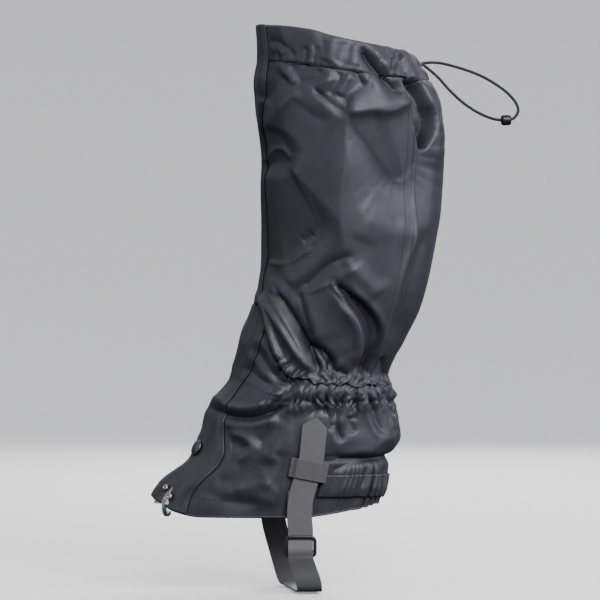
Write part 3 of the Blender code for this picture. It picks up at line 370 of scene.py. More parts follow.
def folded(x, z, folds):
    """The lift of a list of folds."""
    total = np.zeros(x.shape)
    for lift, width, left, sharp, points in folds:
        distance, side, along = beside_line(x, z, rounded(points))
        wide = np.where(side > 0, width * left, width) * MM
        fades = ramp(0, FOLD_END, along) * ramp(0, FOLD_END, 1 - along)
        crest = np.sqrt((distance / wide) ** 2 + CREST ** 2) - CREST
        total += lift * MM * fades * np.exp(-(crest ** (FOLD_POWER - sharp)))
    return total


def inside(x, z, outline):
    """Whether each place is inside an outline."""
    within = np.zeros(x.shape, bool)
    for (ax, az), (bx, bz) in zip(outline, np.roll(outline, -1, axis=0)):
        if az != bz:
            within ^= ((az > z) != (bz > z)) & (x < (bx - ax) * (z - az) / (bz - az) + ax)
    return within


SLOPE_END = 9 * MM       # how far from its two ends a slope fades out


def sloped(x, z, slopes):
    """The lift of a list of slopes."""
    total = np.zeros(x.shape)
    for lift, depth, soft_crest, soft_crease, crest, crease in slopes:
        crest, crease = rounded(crest), rounded(crease)
        to_crest, to_crease = beside_line(x, z, crest)[0], beside_line(x, z, crease)[0]
        share = to_crest / np.maximum(to_crest + to_crease, 1e-6)
        within = inside(x, z, np.vstack([crest, crease[::-1]]) * MM)
        outside = np.where(within, 0.0, np.minimum(to_crest, to_crease))
        soft = (soft_crest + (soft_crease - soft_crest) * share) * MM
        ends = [np.hypot(x - (a[0] + b[0]) / 2 * MM, z - (a[1] + b[1]) / 2 * MM)
                for a, b in ((crest[0], crease[0]), (crest[-1], crease[-1]))]
        fades = np.exp(-((outside / soft) ** 2)) * ramp(0, SLOPE_END, np.minimum(*ends))
        total += (lift * (1 - share) - depth * share) * MM * fades
    return total


def faceted(x, z, facets):
    """The lift of a list of facets. Beyond its outline a facet's level runs out."""
    total = np.zeros(x.shape)
    for lift, depth, soft, deep, first, last, outline in facets:
        first, last = np.array(first) * MM, np.array(last) * MM
        run = last - first
        edge = rounded(np.vstack([outline, outline[:1]]), 1)
        steps = np.linalg.norm(np.diff(edge, axis=0), axis=1)
        reached = np.concatenate([[0], np.cumsum(steps)]) / steps.sum()
        away, _, along = beside_line(x, z, edge)
        within = inside(x, z, edge[:-1] * MM)
        near_x = np.where(within, x, np.interp(along, reached, edge[:, 0]) * MM)
        near_z = np.where(within, z, np.interp(along, reached, edge[:, 1]) * MM)
        share = np.clip(((near_x - first[0]) * run[0] + (near_z - first[1]) * run[1]) / (run @ run), 0, 1)
        level = lift * (1 - share) - depth * share
        back = (soft + np.abs(level) * deep) * MM
        total += level * MM * np.where(within, 1.0, 1 - ramp(0, 1, away / back))
    return total


FOOT_FOLD_SHARE = 0.65


def pressed_folds(x, z, part):
    """The folds of the calf's or the foot's cloth at (x, z), as its outer side has them."""
    if part == "foot":
        return folded(x, z, FOOT_FOLDS) * FOOT_FOLD_SHARE + sloped(x, z, FOOT_SLOPES)
    return folded(x, z, CALF_FOLDS) + sloped(x, z, CALF_SLOPES) + faceted(x, z, CALF_FACETS)


def waves(across, up, length, seed, stretch=1.0, count=9):
    """Smooth seeded unevenness, about 1 high, with waves of this length, longer upwards by stretch."""
    draw = np.random.RandomState(seed)
    total = np.zeros(np.broadcast(across, up).shape)
    for _ in range(count):
        turn = draw.uniform(0, math.tau)
        rate = draw.uniform(0.65, 1.45) / length
        phase = draw.uniform(0, math.tau)
        total += np.cos(math.tau * rate * (across * math.cos(turn) + up * math.sin(turn) / stretch) + phase)
    return total / math.sqrt(count / 2)


def creases(across, up, length, seed, stretch=1.0):
    """Unevenness with sharp crests and broad hollows, from about -0.5 to 1."""
    return 0.8 - np.abs(waves(across, up, length, seed, stretch)) * 0.8


def gathers(across, distance, rows_at_once, seed, up):
    """Cloth drawn in along a stitched row: fine pleats at the row that join into wider ones away from it."""
    total = np.zeros(np.broadcast(across, distance).shape)
    for i, (length, lift, reach) in enumerate(rows_at_once):
        wander = waves(across, up, length * 5, seed + 20 + i) * length * 0.55
        bend = waves(across, up, length * 3, seed + 40 + i) * length * 0.30
        turn = math.pi * (across + wander + bend * distance / (distance + reach)) / length
        size = np.clip(0.72 + 0.42 * waves(across, up, length * 2.3, seed + 60 + i), 0.15, 1.6)
        pleat = 2 * (np.sin(turn) ** 2 + 0.01) ** 0.42 - 1.1
        total += lift * size * pleat * np.exp(-((distance / reach) ** 1.3))
    return total


ARC_AT = 1.05 * MM      # about how far one degree goes round the leg
# Rows of pleats: their width, their height, and how far from the stitched row they reach.
ANKLE_PLEATS = ((0.0058, 2.1 * MM, 0.0060), (0.0120, 2.3 * MM, 0.012), (0.027, 1.2 * MM, 0.026))
UNDER_HEM_PLEATS = ((0.0080, 0.7 * MM, 0.007), (0.0170, 1.2 * MM, 0.018), (0.036, 1.5 * MM, 0.040))
HEM_PLEATS = ((0.0070, 0.7 * MM, 0.010), (0.0150, 1.2 * MM, 0.030), (0.033, 1.5 * MM, 0.050))
HEEL_PLEATS = ((0.0062, 2.0 * MM, 0.022), (0.0125, 2.4 * MM, 0.030))
# Heights on the foot's cloth: the heel's stitched row, the ankle's two, the puff between those, and the pouch
# over the heel with the groove under it.
HEEL_ROW = 0.104
ANKLE_LOW_ROW, ANKLE_PUFF, ANKLE_HIGH_ROW = 0.190, 0.1995, 0.2085
POUCH, GROOVE = 0.150, 0.1335
# Where the strap and its fittings press the cloth flat: from x to x, from z to z, and how softly it ends.
OUTER_PRESSED = ((-0.038, 0.012, 0.060, 0.135, 0.009), (-0.024, 0.008, 0.125, 0.172, 0.009))
INNER_PRESSED = (-0.066, -0.034, 0.060, 0.104, 0.006)
PRESSED_DEPTH, PRESSED_SHARE = -2.0 * MM, 0.4


def strap_mask(x, z, side):
    """1 where the strap and its fittings press the cloth flat, on the side that they are on."""
    def box(low_x, high_x, low_z, high_z, soft):
        return (ramp(low_x - soft, low_x, x) * ramp(-high_x - soft, -high_x, -x)
                * ramp(low_z - soft, low_z, z) * ramp(-high_z - soft, -high_z, -z))
    outer = np.maximum(box(*OUTER_PRESSED[0]), box(*OUTER_PRESSED[1]))
    return np.where(side > 0, outer, box(*INNER_PRESSED))


def bell(z, middle, reach):
    """1 at this height, fading above and below it."""
    return np.exp(-(((z - middle) / reach) ** 2))


def calf_relief(x, z, angle, across, outer_side, inner_side):
    """Folds, and gathers at the ankle's elastic and under the hem. The inner side's folds are a little off."""
    lift = pressed_folds(x, z, "calf") * outer_side
    lift = lift + pressed_folds(x * 0.94 + 0.009, z * 0.97 + 0.012, "calf") * 0.7 * inner_side
    lift += creases(across, z, 0.085, 3, 2.4) * 0.9 * MM
    lift += waves(across, z, 0.034, 5, 2.0) * 0.16 * MM
    drawn = ramp(40, 80, away_from_front(angle))
    lift += drawn * gathers(across, np.maximum(z - ankle_seam(angle), 0), ANKLE_PLEATS, 11, z)
    cinched = 0.35 + 0.65 * ramp(60, 150, away_from_front(angle))
    lift += cinched * gathers(across, np.maximum(hem_stitch(angle) - z, 0), UNDER_HEM_PLEATS, 12, z)
    return lift


def hem_relief(x, z, angle, across, outer_side):
    """The calf's folds go on into the hem, which its drawcord gathers."""
    lift = pressed_folds(x, z, "hem") * outer_side
    lift += creases(across, z, 0.050, 14, 2.5) * 0.6 * MM
    cinched = 0.3 + 0.7 * ramp(60, 150, away_from_front(angle))
    lift += cinched * gathers(across, np.abs(z - hem_stitch(angle)), HEM_PLEATS, 12, z)
    return lift


def foot_relief(x, z, angle, across, outer_side, inner_side):
    """Folds, gathers at the ankle's two rows with a puff between them, the heel's pleats, and the pouch."""
    lift = pressed_folds(x, z, "foot") * outer_side
    lift = lift + pressed_folds(x * 0.93 - 0.004, z * 0.96 + 0.005, "foot") * 0.8 * inner_side
    rear = away_from_front(angle)
    heel = ramp(100, 112, rear) * (1 - ramp(0.120, 0.132, z))
    lift += creases(across, z, 0.060, 23, 1.0) * 1.1 * MM * (1 - heel)
    lift += waves(across, z, 0.026, 25, 1.0) * 0.22 * MM * (1 - heel)
    drawn = ramp(52, 72, rear)
    lift += drawn * gathers(across, np.abs(ankle_seam(angle) - z), ANKLE_PLEATS, 11, z)
    lift += drawn * gathers(across, np.abs(z - ANKLE_LOW_ROW), ANKLE_PLEATS, 31, z)
    rows = bell(z, ANKLE_LOW_ROW, 2.5 * MM) + bell(z, ANKLE_HIGH_ROW, 2.5 * MM)
    lift += drawn * (2.2 * MM * bell(z, ANKLE_PUFF, 6 * MM) - 1.2 * MM * rows)
    lift += heel * gathers(across, np.abs(z - HEEL_ROW), HEEL_PLEATS, 37, z * 0.15)
    lift += ramp(86, 120, rear) * (2.0 * MM * bell(z, POUCH, 11 * MM) - 5.5 * MM * bell(z, GROOVE, 4 * MM))
    return lift


def relief(angle, height, part):
    """How far the cloth lies out of the smooth sleeve. Layers that lie on each other share it."""
    base = on_surface(angle, height)
    x, z = base[..., 0], base[..., 2]
    side = np.sin(np.radians(angle))
    angle = np.broadcast_to(angle, x.shape)
    across = angle * ARC_AT
    outer_side = ramp(-0.10, 0.22, side)
    inner_side = ramp(0.0, 0.35, -side)
    if part == "calf":
        lift = calf_relief(x, z, angle, across, outer_side, inner_side)
    elif part == "hem":
        lift = hem_relief(x, z, angle, across, outer_side)
    else:
        lift = foot_relief(x, z, angle, across, outer_side, inner_side)
    pressed = strap_mask(x, z, side)
    return lift * (1 - pressed) + np.clip(lift, PRESSED_DEPTH, 0.0) * PRESSED_SHARE * pressed


def placed(angle, height, lift, part):
    """The places this far out of the smooth sleeve, folds added."""
    angle, height, lift = np.broadcast_arrays(*(np.asarray(v, float) for v in (angle, height, lift)))
    return on_surface(angle, height) + outward(angle, height) * (lift + relief(angle, height, part))[..., None]


# ---- materials ----------------------------------------------------------------------------------

class Nodes:
    """Adds nodes to a material and joins them."""

    def __init__(self, name):
        self.material = bpy.data.materials.new(name)
        self.material.use_nodes = True
        self.tree = self.material.node_tree
        self.shader = self.tree.nodes["Principled BSDF"]

    def add(self, kind, inputs=(), **settings):
        made = self.tree.nodes.new(kind)
        for key, value in settings.items():
            setattr(made, key, value)
        for key, value in dict(inputs).items():
            self.put(made.inputs[key], value)
        return made

    def put(self, socket, value):
        if isinstance(value, bpy.types.NodeSocket):
            self.tree.links.new(value, socket)
        else:
            socket.default_value = value

    def math(self, operation, a, b=0.0, c=0.0):
        return self.add("ShaderNodeMath", {0: a, 1: b, 2: c}, operation=operation).outputs[0]

    def noise(self, where, scale, detail=2.0, roughness=0.5):
        made = self.add("ShaderNodeTexNoise", {"Vector": where, "Scale": scale, "Detail": detail,
                                               "Roughness": roughness})
        return made.outputs["Fac"]

    def map_range(self, value, low, high, to_low=0.0, to_high=1.0):
        return self.add("ShaderNodeMapRange", {"Value": value, "From Min": low, "From Max": high,
                                               "To Min": to_low, "To Max": to_high}).outputs["Result"]

    def mix(self, share, a, b):
        made = self.add("ShaderNodeMix", data_type="RGBA")
        for socket, value in ((0, share), (6, a), (7, b)):
            self.put(made.inputs[socket], value)
        return made.outputs[2]

    def wave(self, value, pitch):
        """A sine wave of this pitch along a value."""
        return self.math("SINE", self.math("MULTIPLY", value, math.tau / pitch))

    def stretched(self, where, scale):
        """Noise that is stretched by different amounts along each axis."""
        mapping = self.add("ShaderNodeMapping", {"Vector": where, "Scale": scale})
        return self.noise(mapping.outputs["Vector"], 1.0, 2.0)

    def edges(self, low, high, most):
        """0 on flat places, and up to most on sharp outer edges."""
        return self.map_range(self.add("ShaderNodeNewGeometry").outputs["Pointiness"], low, high, 0.0, most)

    def bump(self, height, strength, distance, under=None):
        made = self.add("ShaderNodeBump", {"Height": height, "Strength": strength, "Distance": distance})
        if under is not None:
            self.put(made.inputs["Normal"], under)
        return made.outputs["Normal"]

    def object_place(self):
        return self.add("ShaderNodeTexCoord").outputs["Object"]

    def cloth_place(self):
        """The place on the cloth in metres, along its weft and its warp."""
        uv = self.add("ShaderNodeUVMap", uv_map="cloth").outputs["UV"]
        split = self.add("ShaderNodeSeparateXYZ", {"Vector": uv})
        return uv, split.outputs["X"], split.outputs["Y"]

    def finish(self, base, roughness, normal, fixed=()):
        """Joins colour, roughness and bump to the shader, and sets what is the same all over."""
        for name, value in (("Base Color", base), ("Roughness", roughness), ("Normal", normal)):
            self.put(self.shader.inputs[name], value)
        for name, value in dict(fixed).items():
            self.shader.inputs[name].default_value = value
        return self.material


def colour(red, green, blue):
    """An opaque colour."""
    return (red, green, blue, 1.0)


def lit(value, share):
    """A colour made lighter or darker."""
    return colour(*(min(1.0, c * share) for c in value[:3]))


THREAD_PITCH, GRID_PITCH = 0.62 * MM, 5.0 * MM      # the nylon's weave, and its grid of thicker threads
GRID_SHARPNESS = 40.0
PAINTED_SHADE_REACH, PAINTED_SHADE_SAMPLES = 19.0 * MM, 6         # how far into folds the cloth is darkened as painted shade, and how many samples that takes


def woven_nylon(name, base, roughness):
    """Coated nylon: a fine plain weave, soft gloss, uneven coating, fold crests paler with a painted highlight
    that also stands for wear, and painted shade in folds and hollows.
    """
    n = Nodes(name)
    uv, across, up = n.cloth_place()
    weave = n.math("MULTIPLY", n.wave(across, THREAD_PITCH), n.wave(up, THREAD_PITCH))
    lines = [n.math("POWER", n.math("ABSOLUTE", n.math("COSINE", n.math(
        "MULTIPLY", value, math.pi / GRID_PITCH))), GRID_SHARPNESS) for value in (across, up)]
    grid = n.math("MAXIMUM", *lines)
    place = n.object_place()
    blotch = n.noise(place, 34.0, 3.0, 0.6)
    streak = n.stretched(uv, (900.0, 45.0, 1.0))
    # painted highlight: sharp fold crests are made paler, standing for sheen along the folds as well as rubbed
    # wear
    crest = n.edges(0.515, 0.60, 1.0)
    shade = n.mix(n.map_range(blotch, 0.3, 0.7), lit(base, 0.86), lit(base, 1.14))
    shade = n.mix(n.map_range(streak, 0.35, 0.65, 0.0, 0.30), shade, lit(base, 1.35))
    shade = n.mix(n.math("MULTIPLY", grid, 0.10), shade, lit(base, 1.6))
    shade = n.mix(n.math("MULTIPLY", crest, 0.45), shade, lit(base, 2.2))
    # painted shade: ambient occlusion darkens folds and hollows towards a much darker copy of the cloth's
    # colour
    painted_shade = n.add("ShaderNodeAmbientOcclusion", {"Distance": PAINTED_SHADE_REACH})
    painted_shade.samples = PAINTED_SHADE_SAMPLES
    shade = n.mix(n.map_range(painted_shade.outputs["AO"], 0.35, 0.92, 0.92, 0.0), shade, lit(base, 0.12))
    uneven = n.noise(place, 90.0, 3.0, 0.6)
    ribs = n.bump(grid, 0.16, 0.10 * MM, n.bump(weave, 0.16, 0.10 * MM))
    return n.finish(shade, n.map_range(uneven, 0.3, 0.7, roughness - 0.05, roughness + 0.07),
                    n.bump(uneven, 0.12, 0.20 * MM, ribs), {
                        "Specular Tint": colour(0.90, 0.89, 1.0), "Specular IOR Level": 0.58,
                        "Sheen Weight": 0.05, "Sheen Roughness": 0.45, "Sheen Tint": colour(0.75, 0.77, 0.88)})


def webbing_material(name, base):
    """Flat webbing: close ribs across it, a fine twill, and a firmer edge."""
    n = Nodes(name)
    _, across, along = n.cloth_place()
    twill = n.math("SINE", n.math("ADD", n.math("MULTIPLY", across, math.tau / (1.5 * MM)),
                                  n.math("MULTIPLY", along, math.tau / (2.1 * MM))))
    weave = n.math("ADD", n.math("MULTIPLY", n.wave(along, 1.05 * MM), n.wave(across, 0.75 * MM)),
                   n.math("MULTIPLY", twill, 0.5))
    blotch = n.noise(n.object_place(), 60.0, 3.0, 0.6)
    shade = n.mix(n.map_range(blotch, 0.3, 0.7), lit(base, 0.90), lit(base, 1.10))
    shade = n.mix(n.map_range(weave, -1.4, 1.4), shade, lit(base, 1.25))
    edge = n.map_range(n.math("ABSOLUTE", across), 10.4 * MM, 11.6 * MM)
    shade = n.mix(n.math("MULTIPLY", edge, 0.35), shade, lit(base, 0.72))
    shade = n.mix(n.edges(0.52, 0.62, 0.5), shade, lit(base, 1.7))
    return n.finish(shade, n.map_range(blotch, 0.3, 0.7, 0.50, 0.62),
                    n.bump(blotch, 0.2, 0.2 * MM, n.bump(weave, 0.55, 0.16 * MM)), {"Sheen Weight": 0.15})


def ribbed_elastic(name, base):
    """Knitted elastic with ribs round the leg."""
    n = Nodes(name)
    _, across, up = n.cloth_place()
    ribs = n.math("ABSOLUTE", n.math("SINE", n.math("MULTIPLY", up, math.pi / (1.8 * MM))))
    height = n.math("ADD", ribs, n.math("MULTIPLY", n.wave(across, 0.9 * MM), 0.3))
    return n.finish(n.mix(ribs, lit(base, 0.6), lit(base, 1.5)),
                    n.map_range(n.noise(n.object_place(), 120.0), 0.3, 0.7, 0.8, 0.95),
                    n.bump(height, 0.8, 0.4 * MM))


def hook_and_loop(name, base):
    """A dense fuzz of tiny hooks and loops."""
    n = Nodes(name)
    place = n.object_place()
    cells = n.add("ShaderNodeTexVoronoi", {"Vector": place, "Scale": 1300.0})
    fuzz = n.noise(place, 700.0, 4.0, 0.7)
    height = n.math("ADD", n.math("MULTIPLY", cells.outputs["Distance"], 0.8), fuzz)
    return n.finish(n.mix(fuzz, lit(base, 0.5), lit(base, 2.4)), n.map_range(fuzz, 0.3, 0.7, 0.85, 1.0),
                    n.bump(height, 1.0, 0.5 * MM), {"Sheen Weight": 0.3})


def braided(name, base, pitch):
    """A braid's small slanted plaits, from its place on the cord."""
    n = Nodes(name)
    place = n.object_place()
    split = n.add("ShaderNodeSeparateXYZ", {"Vector": place})
    x, y, z = (split.outputs[axis] for axis in "XYZ")
    lean = n.math("ADD", x, n.math("MULTIPLY", z, 0.7))
    cross = n.math("SUBTRACT", x, n.math("MULTIPLY", z, 0.9))
    plait = n.math("MULTIPLY", n.wave(n.math("ADD", lean, y), pitch),
                   n.wave(n.math("SUBTRACT", cross, y), pitch))
    return n.finish(n.mix(n.map_range(plait, -1.0, 1.0), lit(base, 0.7), lit(base, 1.9)),
                    n.map_range(n.noise(place, 500.0), 0.3, 0.7, 0.5, 0.65),
                    n.bump(plait, 0.9, 0.35 * MM), {"Sheen Weight": 0.1})


def moulded(name, base, roughness):
    """Moulded plastic with a fine grain and paler rubbed edges."""
    n = Nodes(name)
    place = n.object_place()
    scuff = n.noise(place, 160.0, 4.0, 0.7)
    shade = n.mix(n.map_range(scuff, 0.45, 0.75, 0.0, 0.35), base, lit(base, 2.0))
    return n.finish(n.mix(n.edges(0.52, 0.60, 0.6), shade, lit(base, 3.4)),
                    n.map_range(scuff, 0.3, 0.7, roughness - 0.06, roughness + 0.12),
                    n.bump(n.noise(place, 900.0, 3.0, 0.6), 0.25, 0.06 * MM))


def metal(name, base, roughness, tarnish):
    """Plated metal, duller and darker in patches, brighter where it is rubbed."""
    n = Nodes(name)
    place = n.object_place()
    spots = n.noise(place, 320.0, 5.0, 0.65)
    shade = n.mix(n.map_range(spots, 0.35, 0.65, 0.0, tarnish), base, lit(base, 0.35))
    return n.finish(n.mix(n.edges(0.51, 0.58, 0.8), shade, lit(base, 1.6)),
                    n.map_range(spots, 0.3, 0.7, roughness, roughness + 0.2),
                    n.bump(n.stretched(place, (300.0, 300.0, 2600.0)), 0.12, 0.05 * MM), {"Metallic": 1.0})


def thread_material(name, base):
    """Twisted sewing thread."""
    n = Nodes(name)
    twist = n.noise(n.object_place(), 2200.0, 2.0)
    return n.finish(n.mix(twist, lit(base, 0.7), lit(base, 1.5)), n.map_range(twist, 0.3, 0.7, 0.5, 0.7),
                    n.bump(twist, 0.5, 0.1 * MM))


NYLON = woven_nylon("coated_nylon", colour(0.0265, 0.0258, 0.0345), 0.48)
FLAP_NYLON = woven_nylon("flap_nylon", colour(0.0248, 0.0242, 0.0322), 0.48)
WEBBING_GREY = webbing_material("grey_webbing", colour(0.090, 0.090, 0.097))
KEEPER_GREY = webbing_material("keeper_webbing", colour(0.062, 0.062, 0.068))
ELASTIC = ribbed_elastic("knitted_elastic", colour(0.02, 0.02, 0.022))
HOOK_LOOP = hook_and_loop("hook_and_loop", colour(0.015, 0.015, 0.016))
CORD_BLACK = braided("black_cord", colour(0.014, 0.014, 0.017), 2.2 * MM)
PLASTIC = moulded("black_plastic", colour(0.012, 0.012, 0.014), 0.30)
GUNMETAL = metal("dark_metal", colour(0.15, 0.15, 0.155), 0.34, 0.4)
BRASS = metal("aged_brass", colour(0.52, 0.44, 0.31), 0.28, 0.5)
STEEL = metal("spring_steel", colour(0.42, 0.42, 0.43), 0.28, 0.3)
THREAD = thread_material("thread", colour(0.018, 0.018, 0.022))
GREY_THREAD = thread_material("grey_thread", colour(0.10, 0.101, 0.105))
MATERIAL_OF_SLOT = {
    "coated_nylon": NYLON, "flap_nylon": FLAP_NYLON, "grey_webbing": WEBBING_GREY,
    "knitted_elastic": ELASTIC, "hook_and_loop": HOOK_LOOP, "black_cord": CORD_BLACK,
    "black_plastic": PLASTIC, "dark_metal": GUNMETAL, "aged_brass": BRASS, "spring_steel": STEEL,
}


# ---- making pieces ------------------------------------------------------------------------------

def new_object(name, mesh, slot):
    """An object with this mesh or curve, finished as the record's slot is."""
    obj = bpy.data.objects.new(name, mesh)
    bpy.context.scene.collection.objects.link(obj)
    obj.data.materials.append(MATERIAL_OF_SLOT[slot])
    return obj


def mesh_of_grid(name, points, uv, closed=False):
    """A mesh through a (rows, columns, 3) array of points, with its place on the cloth as a UV map."""
    rows, columns = points.shape[:2]
    index = np.arange(rows * columns).reshape(rows, columns)
    if closed:
        index = np.vstack([index, index[:1]])
    quads = np.stack([index[:-1, :-1], index[:-1, 1:], index[1:, 1:], index[1:, :-1]], axis=-1).reshape(-1, 4)
    mesh = bpy.data.meshes.new(name)
    mesh.vertices.add(rows * columns)
    mesh.vertices.foreach_set("co", points.astype(np.float32).ravel())
    mesh.loops.add(quads.size)
    mesh.loops.foreach_set("vertex_index", quads.ravel().astype(np.int32))
    mesh.polygons.add(len(quads))
    mesh.polygons.foreach_set("loop_start", np.arange(0, quads.size, 4, dtype=np.int32))
    layer = mesh.uv_layers.new(name="cloth")
    layer.data.foreach_set("uv", uv.reshape(-1, 2)[quads.ravel()].astype(np.float32).ravel())
    mesh.update(calc_edges=True)
    mesh.validate()
    mesh.polygons.foreach_set("use_smooth", np.ones(len(mesh.polygons), bool))
    return mesh


def thickened(obj, thickness):
    """Adds the cloth's thickness on its outer face."""
    shell = obj.modifiers.new("thickness", "SOLIDIFY")
    shell.thickness = thickness
    shell.offset = 1.0
    shell.use_quality_normals = True
    return obj


class Patch:
    """A piece of cloth on the sleeve, as a grid between two sides and two ends."""

    def __init__(self, sides, ends, lift, part, pitch):
        start, end = sides
        bottom, top = ends
        columns, rows = pitch
        across = np.linspace(0, 1, columns + 1)[None, :]
        up = np.linspace(0, 1, rows + 1)[:, None]
        low_middle = 0.5 * (bottom(np.array([90.0])) + top(np.array([90.0])))
        angle = np.full((rows + 1, columns + 1), float((start(low_middle) + end(low_middle))[0] / 2))
        for _ in range(8):
            height = bottom(angle) + (top(angle) - bottom(angle)) * up
            angle = start(height) + (end(height) - start(height)) * across
        height = bottom(angle) + (top(angle) - bottom(angle)) * up
        self.angle, self.height = angle, height
        self.points = placed(angle, height, lift(angle, height), part)
        normal = np.cross(np.gradient(self.points, axis=1), np.gradient(self.points, axis=0))
        self.normal = normal / np.linalg.norm(normal, axis=-1, keepdims=True)
        self.measure()

    def measure(self):
        """The cloth's own weft and warp, as lengths along the grid's middle lines."""
        smooth = on_surface(self.angle, self.height)
        middle = smooth.shape[0] // 2
        steps = np.linalg.norm(np.diff(smooth[middle], axis=0), axis=1)
        weft = np.concatenate([[0], np.cumsum(steps)])
        u = np.broadcast_to(weft, self.angle.shape)
        self.uv = np.stack([u, self.height], axis=-1)

    def mesh(self, name):
        return mesh_of_grid(name, self.points, self.uv)

    def row(self, up, out=0.0, first=0.0, last=1.0):
        """A line across the cloth at a share of its height, out from its inner face."""
        rows, columns = self.points.shape[:2]
        line = (self.points + self.normal * out)[round(up * (rows - 1))]
        return line[round(first * (columns - 1)):round(last * (columns - 1)) + 1]

    def column(self, across, out=0.0, first=0.0, last=1.0):
        """A line up the cloth at a share of its width, out from its inner face."""
        rows, columns = self.points.shape[:2]
        line = (self.points + self.normal * out)[:, round(across * (columns - 1))]
        return line[round(first * (rows - 1)):round(last * (rows - 1)) + 1]


def always(value):
    """An edge or a lift that is the same everywhere."""
    return lambda where, *_: np.full(np.shape(where), float(value))


def cloth(name, slot, patch, thickness, body, node):
    """The piece of cloth that stands for a node. One that crosses a joint has no body here."""
    obj = thickened(new_object(name, patch.mesh(name), slot), thickness)
    if body:
        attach(obj, body)
    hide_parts(node)
    return obj


def walked(line):
    """How far along a line each of its points is."""
    return np.concatenate([[0], np.cumsum(np.linalg.norm(np.diff(line, axis=0), axis=1))])


def tube(name, line, thick, roundness, slot):
    """A round tube along a line, as a curve."""
    curve = bpy.data.curves.new(name, "CURVE")
    curve.dimensions = "3D"
    curve.bevel_depth = thick / 2
    curve.bevel_resolution = roundness
    curve.use_fill_caps = True
    spline = curve.splines.new("POLY")
    spline.points.add(len(line) - 1)
    spline.points.foreach_set("co", np.hstack([line, np.ones((len(line), 1))]).ravel())
    spline.use_smooth = True
    return new_object(name, curve, slot)


def smooth_line(points, spacing):
    """A smooth line through the points, with a point about every spacing."""
    points = np.array(points, float)
    ends = np.vstack([2 * points[:1] - points[1:2], points, 2 * points[-1:] - points[-2:-1]])
    line = []
    for before, a, b, after in zip(ends, ends[1:], ends[2:], ends[3:]):
        steps = max(1, round(np.linalg.norm((b - a)[:3]) / spacing))
        for k in range(steps):
            t = k / steps
            line.append(0.5 * (2 * a + (b - before) * t + (2 * before - 5 * a + 4 * b - after) * t**2
                               + (3 * a - before - 3 * b + after) * t**3))
    return np.array([*line, points[-1]])


def evenly(line, pitch):
    """Points along a line, a pitch apart."""
    lengths = walked(line)
    wanted = np.arange(pitch / 2, lengths[-1], pitch)
    return np.stack([np.interp(wanted, lengths, line[:, k]) for k in range(3)], axis=-1)


# a stitch's (place along it, thickness) as shares, and how many sides it has
STITCH = ((-0.5, 0.35), (-0.36, 0.9), (0.0, 1.0), (0.36, 0.9), (0.5, 0.35))
STITCH_SIDES = 5
STITCH_THICK = 0.5 * MM


def stitches(name, lines, body, slot="coated_nylon", thread=THREAD, pitch=3.0 * MM, length=2.3 * MM):
    """Rows of sewn stitches, each a short rounded bar of thread half sunk in the cloth."""
    verts, faces = [], []
    for line in lines:
        lengths = walked(line)
        for at in np.arange(pitch / 2, lengths[-1] - length / 2, pitch):
            a, b = (np.array([np.interp(at + d, lengths, line[:, k]) for k in range(3)])
                    for d in (-length / 2, length / 2))
            run = (b - a) / max(np.linalg.norm(b - a), 1e-9)
            aside = np.cross(run, (0.3, 0.2, 0.93))
            aside /= np.linalg.norm(aside)
            over = np.cross(run, aside)
            rings = [len(verts) + ring * STITCH_SIDES for ring in range(len(STITCH))]
            for share, size in STITCH:
                for k in range(STITCH_SIDES):
                    turn = math.tau * k / STITCH_SIDES
                    verts.append((a + b) / 2 + run * share * length
                                 + (aside * math.cos(turn) + over * math.sin(turn)) * size * STITCH_THICK / 2)
            for first, second in zip(rings, rings[1:]):
                for k in range(STITCH_SIDES):
                    n = (k + 1) % STITCH_SIDES
                    faces.append((first + k, first + n, second + n, second + k))
            faces.append(tuple(rings[0] + k for k in reversed(range(STITCH_SIDES))))
            faces.append(tuple(rings[-1] + k for k in range(STITCH_SIDES)))
    mesh = bpy.data.meshes.new(name)
    mesh.from_pydata([tuple(v) for v in verts], [], faces)
    mesh.polygons.foreach_set("use_smooth", np.ones(len(mesh.polygons), bool))
    obj = new_object(name, mesh, slot)
    obj.data.materials[0] = thread
    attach(obj, body)


def ribbon(name, slot, centre, across, width, thick, corner=0.45 * MM):
    """Webbing along a centre line: a flat strip with rounded edges. across is the direction of its width."""
    centre, across = np.asarray(centre, float), np.asarray(across, float)
    across = across / np.linalg.norm(across, axis=1, keepdims=True)
    along = np.gradient(centre, axis=0)
    along /= np.linalg.norm(along, axis=1, keepdims=True)
    facing = np.cross(along, across)
    facing /= np.linalg.norm(facing, axis=1, keepdims=True)
    width = np.broadcast_to(width, (len(centre),))
    half_thick = thick / 2
    outline = []
    for side, turn in ((1, 1), (-1, -1)):
        for share in np.linspace(-1, 1, 11) * turn:
            outline.append((share, side * half_thick, 0.0))
        outline.append((turn, side * half_thick * 0.45, corner * 0.55))
        outline.append((turn, -side * half_thick * 0.45, corner * 0.55))
    loops, uvs = [], []
    lengths = walked(centre)
    for share, lift, out in outline:
        edge = np.maximum(width / 2 - corner, 0.0002)
        reach = share * edge + np.sign(share) * out * (width > 3 * corner)
        loops.append(centre + across * reach[:, None] + facing * lift)
        uvs.append(np.stack([reach, lengths], axis=-1))
    mesh = mesh_of_grid(name, np.array(loops), np.array(uvs), closed=True)
    ends = bmesh.new()
    ends.from_mesh(mesh)
    bmesh.ops.holes_fill(ends, edges=[e for e in ends.edges if e.is_boundary], sides=0)
    bmesh.ops.recalc_face_normals(ends, faces=ends.faces)
    for face in ends.faces:
        face.smooth = True
    ends.to_mesh(mesh)
    ends.free()
    mesh.set_sharp_from_angle(angle=math.radians(50))
    return new_object(name, mesh, slot)


